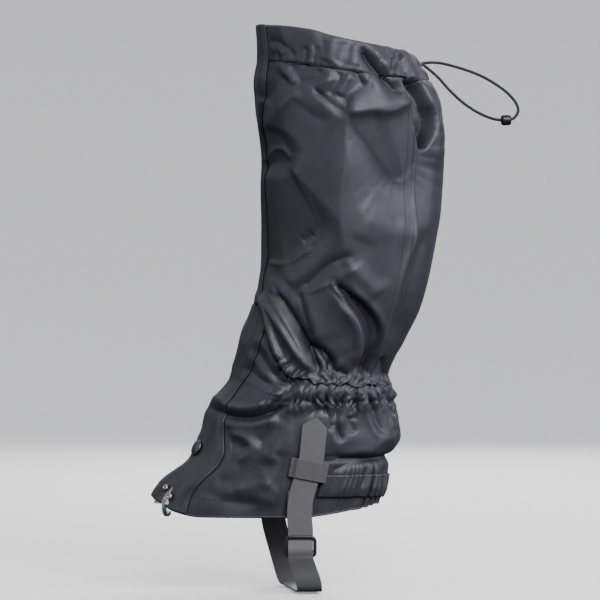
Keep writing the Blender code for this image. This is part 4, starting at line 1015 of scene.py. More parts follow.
def lathe(name, slot, profile, centre, axis, steps=48):
    """A solid of revolution from (radius, height) pairs, from the bottom of the axis up its outside."""
    bm = bmesh.new()
    verts = [bm.verts.new((radius, 0, height)) for radius, height in profile]
    edges = [bm.edges.new(pair) for pair in zip(verts, verts[1:])]
    if profile[0][0] > 1e-6:
        edges.append(bm.edges.new((verts[-1], verts[0])))
    bmesh.ops.spin(bm, geom=verts + edges, cent=(0, 0, 0), axis=(0, 0, 1), angle=math.tau, steps=steps,
                   use_merge=True, use_duplicate=False)
    bmesh.ops.remove_doubles(bm, verts=bm.verts, dist=1e-6)
    bmesh.ops.recalc_face_normals(bm, faces=bm.faces)
    mesh = bpy.data.meshes.new(name)
    for face in bm.faces:
        face.smooth = True
    bm.to_mesh(mesh)
    bm.free()
    mesh.set_sharp_from_angle(angle=math.radians(40))
    obj = new_object(name, mesh, slot)
    obj.matrix_world = Matrix.Translation(centre) @ Vector(axis).to_track_quat("Z", "Y").to_matrix().to_4x4()
    return obj


def rounded_profile(pairs, radius):
    """The profile with each corner between its ends rounded."""
    pairs = [np.array(p, float) for p in pairs]
    made = [pairs[0]]
    for before, corner, after in zip(pairs, pairs[1:], pairs[2:]):
        into, out = corner - before, after - corner
        cut = min(radius, np.linalg.norm(into) * 0.45, np.linalg.norm(out) * 0.45)
        a = corner - into / np.linalg.norm(into) * cut
        b = corner + out / np.linalg.norm(out) * cut
        for t in (0.0, 0.25, 0.5, 0.75, 1.0):
            made.append(a * (1 - t) ** 2 + 2 * corner * t * (1 - t) + b * t * t)
    made.append(pairs[-1])
    return [tuple(p) for p in made]


# ---- camera, light and floor --------------------------------------------------------------------

CAMERA_DISTANCE = 3.2
VIEW_CENTRE = (-0.020, 0.290)
VIEW_WIDTH = 0.600
SENSOR_MM = 36.0


def camera():
    """Level with the middle of the gaiter, straight at its outer side."""
    data = bpy.data.cameras.new("camera")
    data.sensor_width = SENSOR_MM
    data.lens = SENSOR_MM * CAMERA_DISTANCE / VIEW_WIDTH
    made = bpy.data.objects.new("camera", data)
    made.location = (VIEW_CENTRE[0], -CAMERA_DISTANCE, VIEW_CENTRE[1])
    made.rotation_euler = (math.pi / 2, 0, 0)
    bpy.context.scene.collection.objects.link(made)
    bpy.context.scene.camera = made


def area_light(name, place, aim, size, power, tint):
    data = bpy.data.lights.new(name, "AREA")
    data.shape = "RECTANGLE"
    data.size, data.size_y = size
    data.energy = power
    data.color = tint
    made = bpy.data.objects.new(name, data)
    made.location = place
    made.rotation_euler = (Vector(aim) - Vector(place)).to_track_quat("-Z", "Y").to_euler()
    bpy.context.scene.collection.objects.link(made)


# name, place, what it is aimed at, width and height, power, and tint
LIGHTS = (
    ("key", (0.95, -2.3, 1.75), (0.0, 0.0, 0.30), (2.0, 1.6), 112, (0.985, 0.975, 1.0)),
    ("side", (2.2, -0.5, 0.8), (0.0, 0.0, 0.32), (0.8, 1.4), 20, (0.95, 0.94, 1.0)),
    ("front", (-2.2, -1.0, 0.9), (0.0, 0.0, 0.30), (0.6, 1.2), 7, (0.92, 0.94, 1.0)),
    ("back", (0.6, 1.6, 1.9), (0.0, 0.4, 0.20), (1.6, 1.0), 26, (1.0, 1.0, 1.0)),
    ("far", (0.3, 2.7, 1.5), (0.0, 0.0, 0.30), (1.8, 1.4), 38, (1.0, 1.0, 1.0)),
)
WALL_RADIUS, WALL_HEIGHT, SWEEP = CAMERA_DISTANCE + 2.5, 5.0, 2.4


def sky():
    """Soft light from above, with less from below."""
    world = bpy.data.worlds.new("studio")
    bpy.context.scene.world = world
    world.use_nodes = True
    tree = world.node_tree
    background = tree.nodes["Background"]
    direction = tree.nodes.new("ShaderNodeTexCoord")
    split = tree.nodes.new("ShaderNodeSeparateXYZ")
    fade = tree.nodes.new("ShaderNodeValToRGB")
    shift = tree.nodes.new("ShaderNodeMath")
    shift.operation = "MULTIPLY_ADD"
    shift.inputs[1].default_value = 0.5
    shift.inputs[2].default_value = 0.5
    tree.links.new(direction.outputs["Generated"], split.inputs[0])
    tree.links.new(split.outputs["Z"], shift.inputs[0])
    tree.links.new(shift.outputs[0], fade.inputs["Fac"])
    tree.links.new(fade.outputs["Color"], background.inputs["Color"])
    stops = fade.color_ramp.elements
    stops[0].position, stops[0].color = 0.30, colour(0.05, 0.05, 0.055)
    stops[1].position, stops[1].color = 0.85, colour(0.93, 0.95, 1.0)
    stops.new(0.50).color = colour(0.20, 0.205, 0.22)
    background.inputs["Strength"].default_value = 0.55


def floor():
    """A pale floor that curves up all round. It shows, but it neither lights nor shades the object."""
    turns, segments = 64, 14
    profile = [(1.0, 0.0), (WALL_RADIUS - SWEEP, 0.0)]
    for k in range(1, segments + 1):
        turn = math.pi / 2 * k / segments
        profile.append((WALL_RADIUS - SWEEP + SWEEP * math.sin(turn), SWEEP - SWEEP * math.cos(turn)))
    profile.append((WALL_RADIUS, WALL_HEIGHT))
    bm = bmesh.new()
    middle = bm.verts.new((0.0, 0.0, 0.0))
    rings = [[bm.verts.new((r * math.cos(math.tau * k / turns), r * math.sin(math.tau * k / turns), z))
              for k in range(turns)] for r, z in profile]
    for k in range(turns):
        bm.faces.new((middle, rings[0][k], rings[0][(k + 1) % turns])).smooth = True
        for low, high in zip(rings, rings[1:]):
            bm.faces.new((low[k], high[k], high[(k + 1) % turns], low[(k + 1) % turns])).smooth = True
    mesh = bpy.data.meshes.new("floor")
    bm.to_mesh(mesh)
    bm.free()
    obj = bpy.data.objects.new("floor", mesh)
    bpy.context.scene.collection.objects.link(obj)
    n = Nodes("floor")
    for name, value in (("Base Color", colour(0.86, 0.86, 0.87)), ("Roughness", 0.9),
                        ("Emission Color", colour(1.0, 1.0, 1.0)), ("Emission Strength", 0.28)):
        n.shader.inputs[name].default_value = value
    mesh.materials.append(n.material)
    obj.visible_diffuse = False
    obj.visible_glossy = False
    obj.visible_shadow = False


def studio():
    """The world, the lights and the floor."""
    sky()
    for light in LIGHTS:
        area_light(*light)
    floor()


camera()


# ---- the drawcord -------------------------------------------------------------------------------

CORD = 3.0 * MM
TUNNEL_DEPTH = 4.5 * MM
EXIT_ANGLE, EXIT_HEIGHT = 214, 0.522
STRAND_APART = 3.6 * MM
LOCK_RADIUS = 6.6 * MM
LOCK_OUT = CLOTH + 1.5 * MM + LOCK_RADIUS
LOCK_SLIDE = 6.0 * MM
# The free loop's route, the same as in the CAD part.
LOOP_OUT = (
    (0.1190, 0.0520, 0.5312), (0.143, 0.0515, 0.5255), (0.166, 0.0490, 0.5165), (0.186, 0.0450, 0.5035),
    (0.1975, 0.0412, 0.4915), (0.2010, 0.0390, 0.4815), (0.1975, 0.0382, 0.4752),
)
BEAD_AT = np.array((0.1885, 0.0380, 0.4722))
BEAD_AXIS = np.array((-0.985, 0.0, -0.035)) / np.linalg.norm((-0.985, 0.0, -0.035))
LOOP_BACK = (
    (0.174, 0.0386, 0.4738), (0.159, 0.0402, 0.4805), (0.144, 0.0425, 0.4910), (0.131, 0.0450, 0.5035),
    (0.1210, 0.0468, 0.5150), (0.1110, 0.0480, 0.5240),
)
EXIT_BASE = on_surface(EXIT_ANGLE, EXIT_HEIGHT)
EXIT_FACING = outward(EXIT_ANGLE, EXIT_HEIGHT)
EXIT_ASIDE = np.cross((0, 0, 1), EXIT_FACING) / np.linalg.norm(np.cross((0, 0, 1), EXIT_FACING))


def drawcord():
    """The free loop: out through the grommet and the lock, round through the bead, and back."""
    def smooth_place(angle, out):
        return on_surface(angle, EXIT_HEIGHT) + outward(angle, EXIT_HEIGHT) * out

    turn_out = ((6.2, 0.0), (4.4, 0.1 * MM), (2.7, 0.9 * MM))
    beyond = LOCK_OUT + LOCK_RADIUS
    outs = (-0.4 * MM, 1.2 * MM, 4.5 * MM, LOCK_OUT, beyond, beyond + LOCK_SLIDE / 2, beyond + LOCK_SLIDE,
            beyond + LOCK_SLIDE + 1.6 * MM)
    ends = []
    for side in (1, -1):
        in_hem = [smooth_place(EXIT_ANGLE + side * by, -TUNNEL_DEPTH / 2 + out) for by, out in turn_out]
        shift = EXIT_BASE + EXIT_ASIDE * (side * STRAND_APART / 2)
        ends.append(in_hem + [shift + EXIT_FACING * out for out in outs])
    outgoing, incoming = ends
    in_bead = [BEAD_AT + BEAD_AXIS * shift for shift in (-4.5 * MM, 0.0, 4.5 * MM)]
    line = smooth_line([*outgoing, *LOOP_OUT, *in_bead, *LOOP_BACK, *incoming[::-1]], 3.0 * MM)
    cord = tube("drawcord", line, CORD, 5, "black_cord")
    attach(cord, "sleeve")
    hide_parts("drawcord_loop")
    half = 5.2 * MM
    bore, radius = CORD / 2 + 0.3 * MM, 5.6 * MM
    profile = rounded_profile([
        (bore, -half), (radius * 0.78, -half), (radius, -half * 0.62), (radius, half * 0.62),
        (radius * 0.78, half), (bore, half), (bore, -half)], 1.2 * MM)
    bead = lathe("bead", "black_plastic", profile[:-1], BEAD_AT, BEAD_AXIS)
    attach(bead, "sleeve")
    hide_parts("cord_bead")


drawcord()


# ---- where the storm flap turns -----------------------------------------------------------------

HINGE_OUT = 4.5 * MM
UPPER_HINGE, LOWER_HINGE = (
    tuple(on_surface(SEAM_ANGLE, z) + outward(SEAM_ANGLE, z) * HINGE_OUT for z in heights)
    for heights in ((0.291, 0.562), (0.084, 0.285))
)


def sewn_edge(hinge):
    """The angle of the flap's sewn edge, kept 0.5 mm on the free side of the straight hinge line."""
    low, high = hinge
    heights = np.linspace(low[2], high[2], 25)
    angles = []
    for height in heights:
        line = low + (high - low) * (height - low[2]) / (high[2] - low[2])
        free_side = np.cross((0, 0, 1), outward(SEAM_ANGLE, height))
        free_side /= np.linalg.norm(free_side)
        left, right = SEAM_ANGLE - 25.0, SEAM_ANGLE + 25.0
        for _ in range(30):
            middle = (left + right) / 2
            if (on_surface(middle, height) - line) @ free_side < 0.5 * MM:
                left = middle
            else:
                right = middle
        angles.append((left + right) / 2)
    return lambda height: np.interp(height, heights, angles)


UPPER_SEWN = sewn_edge(UPPER_HINGE)
LOWER_SEWN = sewn_edge(LOWER_HINGE)


def shifted(edge, by):
    """The same edge, moved."""
    return lambda where: edge(where) + by


# ---- the sleeve's cloth -------------------------------------------------------------------------

# The size each piece of cloth was cut to, width by length in metres, and its area where it isn't a rectangle.
SHEET = 0.9 * MM
ON_SHEET = SHEET + 0.1 * MM             # where stitches lie
LAPPED = SHEET + 0.25 * MM              # how far a panel's edge lies over its neighbour's
REAR_SEAM_OUTER, REAR_SEAM_INNER, HEEL_SEAM = 138, 222, 180
GRID, GRID_UP = 1.2 * MM, 1.5 * MM      # about how fine the cloth's meshes are, across and up


def bloused(angle):
    """How much the calf's cloth hangs over the ankle seam at this angle."""
    at = away_from_front(angle)
    return ramp(12, 26, at) * (1 - ramp(60, 82, at))


def calf_bottom(angle):
    """The calf's lower edge, which hangs over in front and is frilled by the elastic behind."""
    drawn = ramp(60, 84, away_from_front(angle))
    frill = (1.2 * MM * waves(np.asarray(angle, float) * ARC_AT, 0.0, 0.0075, 71) - 3.0 * MM) * drawn
    return ankle_seam(angle) + 0.8 * MM - 4.5 * MM * bloused(angle) + frill


def calf_lift(angle, height):
    """The roll along the calf's lower edge."""
    above = height - calf_bottom(angle)
    roll = bell(above, 4.0 * MM, 5.0 * MM) * 3.6 * MM + 1.8 * MM * bell(above, 0.0, 20 * MM)
    drawn = ramp(60, 84, away_from_front(angle))
    return bloused(angle) * roll + drawn * 1.7 * MM * bell(above, 0.0, 6 * MM)


def panel(part, side, sides, ends, lift, pitch):
    """A panel of the calf's or the foot's cloth, gathered onto the ankle's elastic."""
    patch = Patch(sides, ends, lift, part, pitch)
    obj = cloth(f"{part}_cloth_{side}", "coated_nylon", patch, SHEET, "sleeve", f"{part}_panel_{side}")
    return patch


def calf():
    """The calf's three panels, and the stitches beside the two rear seams."""
    inner = shifted(UPPER_SEWN, 360 + SEAM_MARGIN)
    # side, its two edges, how many degrees it spans, and the seam at which it laps over the rear panel
    panels = (
        ("outer", (underlap_edge, always(REAR_SEAM_OUTER + 0.9)), 145, REAR_SEAM_OUTER),
        ("rear", (always(REAR_SEAM_OUTER), always(REAR_SEAM_INNER)), 84, None),
        ("inner", (always(REAR_SEAM_INNER - 0.9), inner), 106, REAR_SEAM_INNER),
    )
    made = {}
    for side, sides, degrees, seam in panels:
        def lift(angle, height, seam=seam):
            lapped = LAPPED * ramp(-3.4, -0.8, -np.abs(angle - seam)) if seam else 0.0
            return calf_lift(angle, height) + lapped

        made[side] = panel("calf", side, sides, (calf_bottom, hem_stitch), lift,
                           (round(degrees * ARC_AT * 1.25 / GRID), round(0.29 / GRID_UP)))
    rows = [made[side].column(across, ON_SHEET, 0.02, 0.98)
            for side, across in (("outer", 0.982), ("outer", 0.945), ("inner", 0.026), ("inner", 0.070))]
    stitches("calf_seam_stitches", rows, "sleeve")


def foot():
    """The foot's two panels, which lap at the heel."""
    made = {}
    for side, sides in (("outer", (underlap_edge, always(HEEL_SEAM + 0.6))),
                        ("inner", (always(HEEL_SEAM), shifted(LOWER_SEWN, 360 + SEAM_MARGIN)))):
        def lift(angle, height, lap=LAPPED if side == "outer" else 0.0):
            return lap * ramp(-4.0, -1.0, -np.abs(angle - HEEL_SEAM))

        made[side] = panel("foot", side, sides, (bottom_edge, ankle_seam), lift,
                           (round(0.30 / GRID), round(0.175 / GRID_UP)))
    return made


def bottom_fold(panels):
    """The turned edge along the bottom of the foot's cloth, its stitches, and a row in front of the strap."""
    rows = []
    for name, patch in panels.items():
        line = evenly(patch.row(0.0, SHEET * 0.5), 2.5 * MM)
        fold = tube(f"bottom_fold_{name}", line, 2.5 * MM, 3, "coated_nylon")
        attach(fold, "sleeve")
        rows.append(patch.row(0.105, ON_SHEET, 0.03, 0.97))
    stitches("bottom_hem_stitches", rows, "sleeve")
    across = np.linspace(-66, -33, 24) * MM
    up = np.interp(across, (-0.068, -0.055, -0.033), (0.1290, 0.1235, 0.1170))
    angle = np.array([angle_where(x, z) for x, z in zip(across, up)])
    row = placed(angle, up, ON_SHEET, "foot")
    stitches("tack_stitches", [row], "sleeve", thread=GREY_THREAD, pitch=2.6 * MM, length=1.6 * MM)


def facings():
    """What lies inside the sleeve: the turned-up hem, and the elastics at the ankle and the heel."""
    depth = always(-CLOTH - LAYER_GAP)
    low, high = shifted(bottom_edge, 0.5 * MM), shifted(bottom_edge, 15 * MM)
    for name, sides in (("outer", (4, 118)), ("inner", (242, 316))):
        patch = Patch([always(s) for s in sides], (low, high), depth, "foot", (110, 8))
        obj = cloth(f"hem_facing_{name}", "coated_nylon", patch, SHEET, "sleeve", f"bottom_hem_{name}")
    patch = Patch((always(68), always(292)), (always(0.189), always(0.207)), depth, "foot", (200, 10))
    cloth("ankle_elastic_band", "knitted_elastic", patch, 1.1 * MM, "sleeve", "ankle_elastic")
    low, high = shifted(bottom_edge, 4 * MM), shifted(bottom_edge, 22 * MM)
    patch = Patch((always(120), always(240)), (low, high), depth, "foot", (110, 10))
    cloth("heel_elastic_band", "knitted_elastic", patch, 1.1 * MM, "sleeve", "heel_elastic")


def heel_band():
    """The second layer round the heel, drawn in by its elastic."""
    def lift(angle, height):
        return CLOTH + 0.2 * MM + 0.6 * MM + 0.5 * MM * bell(height, HEEL_ROW, 8 * MM)

    patch = Patch((always(112), always(248)), (always(0.0960), always(0.1175)), lift, "foot", (170, 14))
    obj = cloth("heel_band_cloth", "coated_nylon", patch, SHEET, "sleeve", "heel_band")
    stitches("heel_band_stitches", [patch.row(0.90, ON_SHEET), patch.row(0.12, ON_SHEET)], "sleeve")


# ---- the top hem --------------------------------------------------------------------------------

HEM_MIDDLE = 0.545


def top_hem():
    """The tunnel for the drawcord: up its outer wall, over the rolled edge, and down its inner wall."""
    into, outer = -TUNNEL_DEPTH - 1.0 * MM, CLOTH * 0.6
    first = float(underlap_edge(HEM_MIDDLE)) + 2
    last = 360 + float(UPPER_SEWN(HEM_MIDDLE)) + SEAM_MARGIN
    columns = round((last - first) * 1.15 * MM / GRID)
    angle = np.linspace(first, last, columns + 1)[None, :]
    # (how far out, share of the hem's height), from the stitches up
    profile = [(outer, 0.0)]
    profile += [(outer + 0.9 * MM * math.sin(math.pi * t), t) for t in np.linspace(0.08, 0.86, 16)]
    roll = (outer - into) / 2
    for k in range(9):
        turn = math.pi * k / 8
        profile.append((into + roll + roll * math.cos(turn), 1.0 + 0.5 * (math.sin(turn) - 1.0) * 0.12))
    profile += [(into, t) for t in np.linspace(0.86, 0.12, 12)]
    lifts, shares = (np.array(column)[:, None] for column in zip(*profile))
    low, high = hem_stitch(angle), top_edge(angle)
    height = low + (high - low) * shares
    angle = np.broadcast_to(angle, height.shape)
    points = placed(angle, height, np.broadcast_to(lifts, height.shape), "hem")
    up = walked(points[:, columns // 2])
    uv = np.stack([angle * ARC_AT, np.broadcast_to(up[:, None], height.shape)], axis=-1)
    mesh = mesh_of_grid("top_hem_cloth", points, uv)
    obj = thickened(new_object("top_hem_cloth", mesh, "coated_nylon"), SHEET)
    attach(obj, "sleeve")
    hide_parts("top_hem")
    stitches("top_hem_stitches", [points[1] + outward(angle[1], height[1]) * ON_SHEET], "sleeve")


# ---- the storm flap -----------------------------------------------------------------------------

OVER_TAPES = 3.6 * MM                   # how high the flap lies over its tapes


def flap_lift(sewn):
    """On the inner panel at its seam, then above the tapes, and down again at its free edge."""
    def lift(angle, height):
        seam = sewn(height) + SEAM_MARGIN
        low = ON_SHEET + (CLOTH + LAYER_GAP - ON_SHEET) * ramp(1.0, 7.0, angle - sewn(height))
        to_edge = angle - flap_free_edge(height)
        raised = low + (FLAP_LIFT - low) * ramp(0, 9, angle - seam)
        settled = raised - (FLAP_LIFT - OVER_TAPES) * ramp(-30, -17, to_edge)
        return settled - (OVER_TAPES - CLOTH - 0.3 * MM) * ramp(-5.5, -0.3, to_edge)
    return lift


def storm_flap(name, sewn, ends, part, hinge, rows):
    """One part of the flap, sewn to the sleeve along the seam and blended into it."""
    patch = Patch((sewn, flap_free_edge), ends, flap_lift(sewn), part, (round(0.085 / GRID), rows))
    obj = cloth(f"{name}_cloth", "flap_nylon", patch, SHEET, None, name)
    seam = (hinge[1] - hinge[0]) / np.linalg.norm(hinge[1] - hinge[0])
    across = patch.points[rows // 2]
    free = across[-1] - across[0]
    free -= seam * (free @ seam)
    free /= np.linalg.norm(free)
    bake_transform(obj)
    return patch


def flaps():
    """The flap's upper and lower part, with the narrow notch between them."""
    def notch(at_seam, at_free):
        return lambda angle: at_seam + (at_free - at_seam) * ramp(SEAM_ANGLE, 30, angle)

    upper = storm_flap("storm_flap_upper", UPPER_SEWN, (notch(0.2885, 0.2850), shifted(top_edge, 1 * MM)),
                       "calf", UPPER_HINGE, round(0.27 / GRID_UP))
    lower = storm_flap("storm_flap_lower", LOWER_SEWN, (bottom_edge, notch(0.2875, 0.2835)),
                       "foot", LOWER_HINGE, round(0.20 / GRID_UP))
    for name, patch in (("upper", upper), ("lower", lower)):
        row = patch.column(0.955, ON_SHEET, 0.02, 0.98)
        stitches(f"flap_{name}_stitches", [row], f"flap_{name}", "flap_nylon")


def tapes():
    """Hook tape on the outer panels, and loop tape under the flap."""
    hook = SHEET + 0.2 * MM
    loop = hook + TAPE + 0.2 * MM
    for name, (low, high), part in (("upper", (0.308, 0.517), "calf"), ("lower", (0.162, 0.262), "foot")):
        sides = (shifted(flap_free_edge, -22), shifted(flap_free_edge, -4))
        for kind, lift, body in (("hook", hook, "sleeve"), ("loop", loop, f"flap_{name}")):
            pitch = (20, round((high - low) / GRID_UP))
            patch = Patch(sides, (always(low), always(high)), always(lift), part, pitch)
            cloth(f"{kind}_tape_{name}_strip", "hook_and_loop", patch, TAPE * 0.9, body, f"{kind}_tape_{name}")


# ---- webbing under the boot ---------------------------------------------------------------------

WEBBING_WIDTH, WEBBING = 25 * MM, 1.5 * MM
ANCHOR_WEBBING = 1.2 * MM
TURNING_GAP = 0.7 * MM
GAP = 0.4 * MM
HEM_HINGE_HEIGHT, HINGE_LAP = 0.084, 4 * MM
PATCH_OUT = 50.8 * MM
ANCHOR_OUT = PATCH_OUT + ANCHOR_WEBBING + TURNING_GAP
TAIL_OUT = ANCHOR_OUT + (ANCHOR_WEBBING + WEBBING) / 2 + TURNING_GAP
INNER_PATCH_OUT = 52.0 * MM
INNER_STRAP_OUT = INNER_PATCH_OUT + (ANCHOR_WEBBING + WEBBING) / 2 + TURNING_GAP
OUTER_ANCHOR_X, INNER_ANCHOR_X = -0.020, -0.050
SLIDER_CENTRE = (-0.0195, 0.0476)
SLIDER_SIZE = (0.032, 0.0222)
SLIDER_DEPTH = 1.8 * MM
SLIDER_BAR, SLIDER_CORNER = 3.5 * MM, 4.0 * MM
SLIDER_MIDDLE_BAR = (-5.1 * MM, 2.0 * MM)
SLIDER_OUT = TAIL_OUT + WEBBING / 2 + GAP + SLIDER_DEPTH / 2
OVER_ANCHOR = SLIDER_OUT + SLIDER_DEPTH / 2 + 0.7 * MM + ANCHOR_WEBBING + WEBBING / 2
KEEPER_MIDDLE = (-0.0115, 0.1225)


def strap_under_boot():
    """From inside the keeper down past the hem, through the slider, under the boot and up the inner side."""
    low, high = SLIDER_CENTRE[1] - SLIDER_SIZE[1] / 2, SLIDER_CENTRE[1] + SLIDER_SIZE[1] / 2
    front = SLIDER_OUT + SLIDER_DEPTH / 2 + GAP + WEBBING / 2
    middle, inner = SLIDER_CENTRE[0], INNER_STRAP_OUT
    route = (
        (-0.0098, -TAIL_OUT, 0.1285), (-0.0106, -TAIL_OUT, 0.1225), (-0.0135, -TAIL_OUT, 0.1145),
        (-0.0185, -TAIL_OUT, 0.0980), (-0.0203, -TAIL_OUT, 0.0860), (-0.0205, -TAIL_OUT, 0.0760),
        (middle, -TAIL_OUT, high + 0.006),
        (middle, -TAIL_OUT, high + 0.001), (middle, -TAIL_OUT, high - 0.0030),
        (middle, -TAIL_OUT - 0.0010, high - 0.0052), (middle, -TAIL_OUT - 0.0034, high - 0.0086),
        (middle, -OVER_ANCHOR + 0.0004, high - 0.0118), (middle, -OVER_ANCHOR, high - 0.0145),
        (middle, -OVER_ANCHOR, high - 0.0170), (middle, -front - 0.0005, low + 0.0028),
        (middle, -front, low - 0.0004), (-0.0165, -front + 0.0030, low - 0.0100),
        (-0.0120, -0.0535, 0.0140), (-0.0105, -0.0500, 0.0062), (-0.0110, -0.0430, 0.0030),
        (-0.0135, -0.0250, 0.0020), (-0.0170, 0.0000, 0.0020), (-0.0215, 0.0250, 0.0020),
        (-0.0265, 0.0430, 0.0036), (-0.0300, 0.0500, 0.0080), (-0.0335, 0.0530, 0.0170),
        (-0.0400, inner, 0.0400), (-0.0460, inner, 0.0620), (INNER_ANCHOR_X, inner, 0.0880),
        (INNER_ANCHOR_X, inner, 0.0980),
    )
    centre = smooth_line(route, 2.0 * MM)
    along = np.gradient(centre, axis=0)
    flat = np.stack([np.zeros(len(centre)), -along[:, 2], along[:, 1]], axis=-1)
    across = np.cross(flat, along)
    across *= np.where(across[:, :1] < 0, -1.0, 1.0)
    obj = ribbon("instep_webbing", "grey_webbing", centre, across, WEBBING_WIDTH, WEBBING)
    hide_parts("instep_strap", "strap_tail")
    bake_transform(obj)


def strap_tip():
    """The free end above the keeper, cut to a point."""
    route = ((-0.0102, 0.1260), (-0.0088, 0.1330), (-0.0070, 0.1500), (-0.0056, 0.1640), (-0.0034, 0.1745))
    centre = smooth_line([(x, -TAIL_OUT, z) for x, z in route], 1.2 * MM)
    top = centre[-1, 2]
    width = np.minimum(WEBBING_WIDTH, np.maximum((top - centre[:, 2]) * 2.7 + 0.6 * MM, 0.8 * MM))
    across = np.tile((1.0, 0.0, -0.15), (len(centre), 1))
    bow = 0.5 * MM * np.sin((centre[:, 2] - 0.126) / 0.048 * math.pi)
    centre = centre + np.array((0, -1, 0)) * bow[:, None]
    obj = ribbon("strap_tip", "grey_webbing", centre, across, width, WEBBING)
    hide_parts("strap_end")
    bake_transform(obj)


def keeper():
    """A flat sleeve of webbing sewn to the cloth, with slanting rows of stitches at its sides."""
    x, z = KEEPER_MIDDLE
    reach, depth, flank = WEBBING_WIDTH / 2 + 1.2 * MM, WEBBING / 2 + 0.5 * MM, 4.8 * MM
    along = np.array((0.19, 0, 1)) / math.hypot(0.19, 1)
    sideways = np.array((1, 0, -0.19)) / math.hypot(0.19, 1)
    loop = smooth_line([(-reach - flank, -depth - 0.4 * MM, 0), (-reach - 1.5 * MM, -depth + 0.3 * MM, 0),
                        (-reach + 0.2 * MM, depth * 0.5, 0), (-reach + 2.0 * MM, depth + 0.75 * MM, 0),
                        (0, depth + 0.95 * MM, 0), (reach - 2.0 * MM, depth + 0.75 * MM, 0),
                        (reach - 0.2 * MM, depth * 0.5, 0), (reach + 1.5 * MM, -depth + 0.3 * MM, 0),
                        (reach + flank, -depth - 0.4 * MM, 0)], 0.9 * MM)
    middle = np.array((x, -TAIL_OUT, z))
    centre = middle + loop[:, :1] * sideways + loop[:, 1:2] * np.array((0, -1, 0))
    across = np.tile(along, (len(centre), 1))
    obj = ribbon("keeper_webbing", "grey_webbing", centre, across, 19.5 * MM, 1.2 * MM)
    obj.data.materials[0] = KEEPER_GREY
    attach(obj, "sleeve")
    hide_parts("strap_keeper")
    rows = []
    for side in (-1, 1):
        for by in (1.6, 3.6):
            at = middle + sideways * side * (reach + by * MM) + np.array((0, -1, 0)) * (-depth + 0.6 * MM)
            rows.append(np.array([at - along * 8.6 * MM, at, at + along * 8.6 * MM]))
    stitches("keeper_stitches", rows, "sleeve", "grey_webbing", GREY_THREAD, 2.6 * MM, 2.0 * MM)


def anchors():
    """Webbing sewn over the hem at each end of the strap, and the loop that holds the slider."""
    for name, x, y in (("outer", OUTER_ANCHOR_X, -PATCH_OUT), ("inner", INNER_ANCHOR_X, INNER_PATCH_OUT)):
        centre = np.array([(x, y, z) for z in np.linspace(0.080, 0.102, 12)])
        obj = ribbon(f"{name}_anchor_webbing", "grey_webbing", centre, np.tile((1.0, 0, 0), (12, 1)),
                     WEBBING_WIDTH, ANCHOR_WEBBING)
        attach(obj, "sleeve")
        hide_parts(f"{name}_anchor_patch")
    x = SLIDER_CENTRE[0]
    bar_low, bar = SLIDER_CENTRE[1] + SLIDER_MIDDLE_BAR[0], SLIDER_MIDDLE_BAR[1]
    half = max(SLIDER_DEPTH, bar) / 2 + GAP + ANCHOR_WEBBING / 2
    at = bar_low + bar / 2
    route = [(ANCHOR_OUT, HEM_HINGE_HEIGHT + HINGE_LAP), (ANCHOR_OUT, at + 0.008),
             (ANCHOR_OUT + 0.0002, at + 0.0010),
             (ANCHOR_OUT + 0.0012, at - 0.0016), (SLIDER_OUT - 0.0007, at - half - 0.0001),
             (SLIDER_OUT + half * 0.75, at - half * 0.80), (SLIDER_OUT + half, at),
             (SLIDER_OUT + half * 0.7, at + half * 0.85), (SLIDER_OUT - 0.0005, at + half + 0.0003),
             (ANCHOR_OUT + 0.0026, at + 0.0034)]
    centre = smooth_line([(x, -out, z) for out, z in route], 0.8 * MM)
    obj = ribbon("slider_anchor_webbing", "grey_webbing", centre, np.tile((1.0, 0, 0), (len(centre), 1)),
                 22.5 * MM, ANCHOR_WEBBING)
    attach(obj, "instep_strap")
    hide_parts("slider_anchor")
    near, low, high, reach = INNER_STRAP_OUT + (WEBBING / 2 + 0.1 * MM), 0.0830, 0.0960, 9.5 * MM
    corners = [(INNER_ANCHOR_X + side * reach, near, z)
               for side, z in ((-1, low), (1, low), (1, high), (-1, high))]
    box = [np.array((corners[a], corners[b])) for a, b in ((0, 1), (1, 2), (2, 3), (3, 0), (0, 2), (1, 3))]
    stitches("anchor_stitches", box, "sleeve", "grey_webbing", GREY_THREAD, 2.6 * MM, 2.0 * MM)


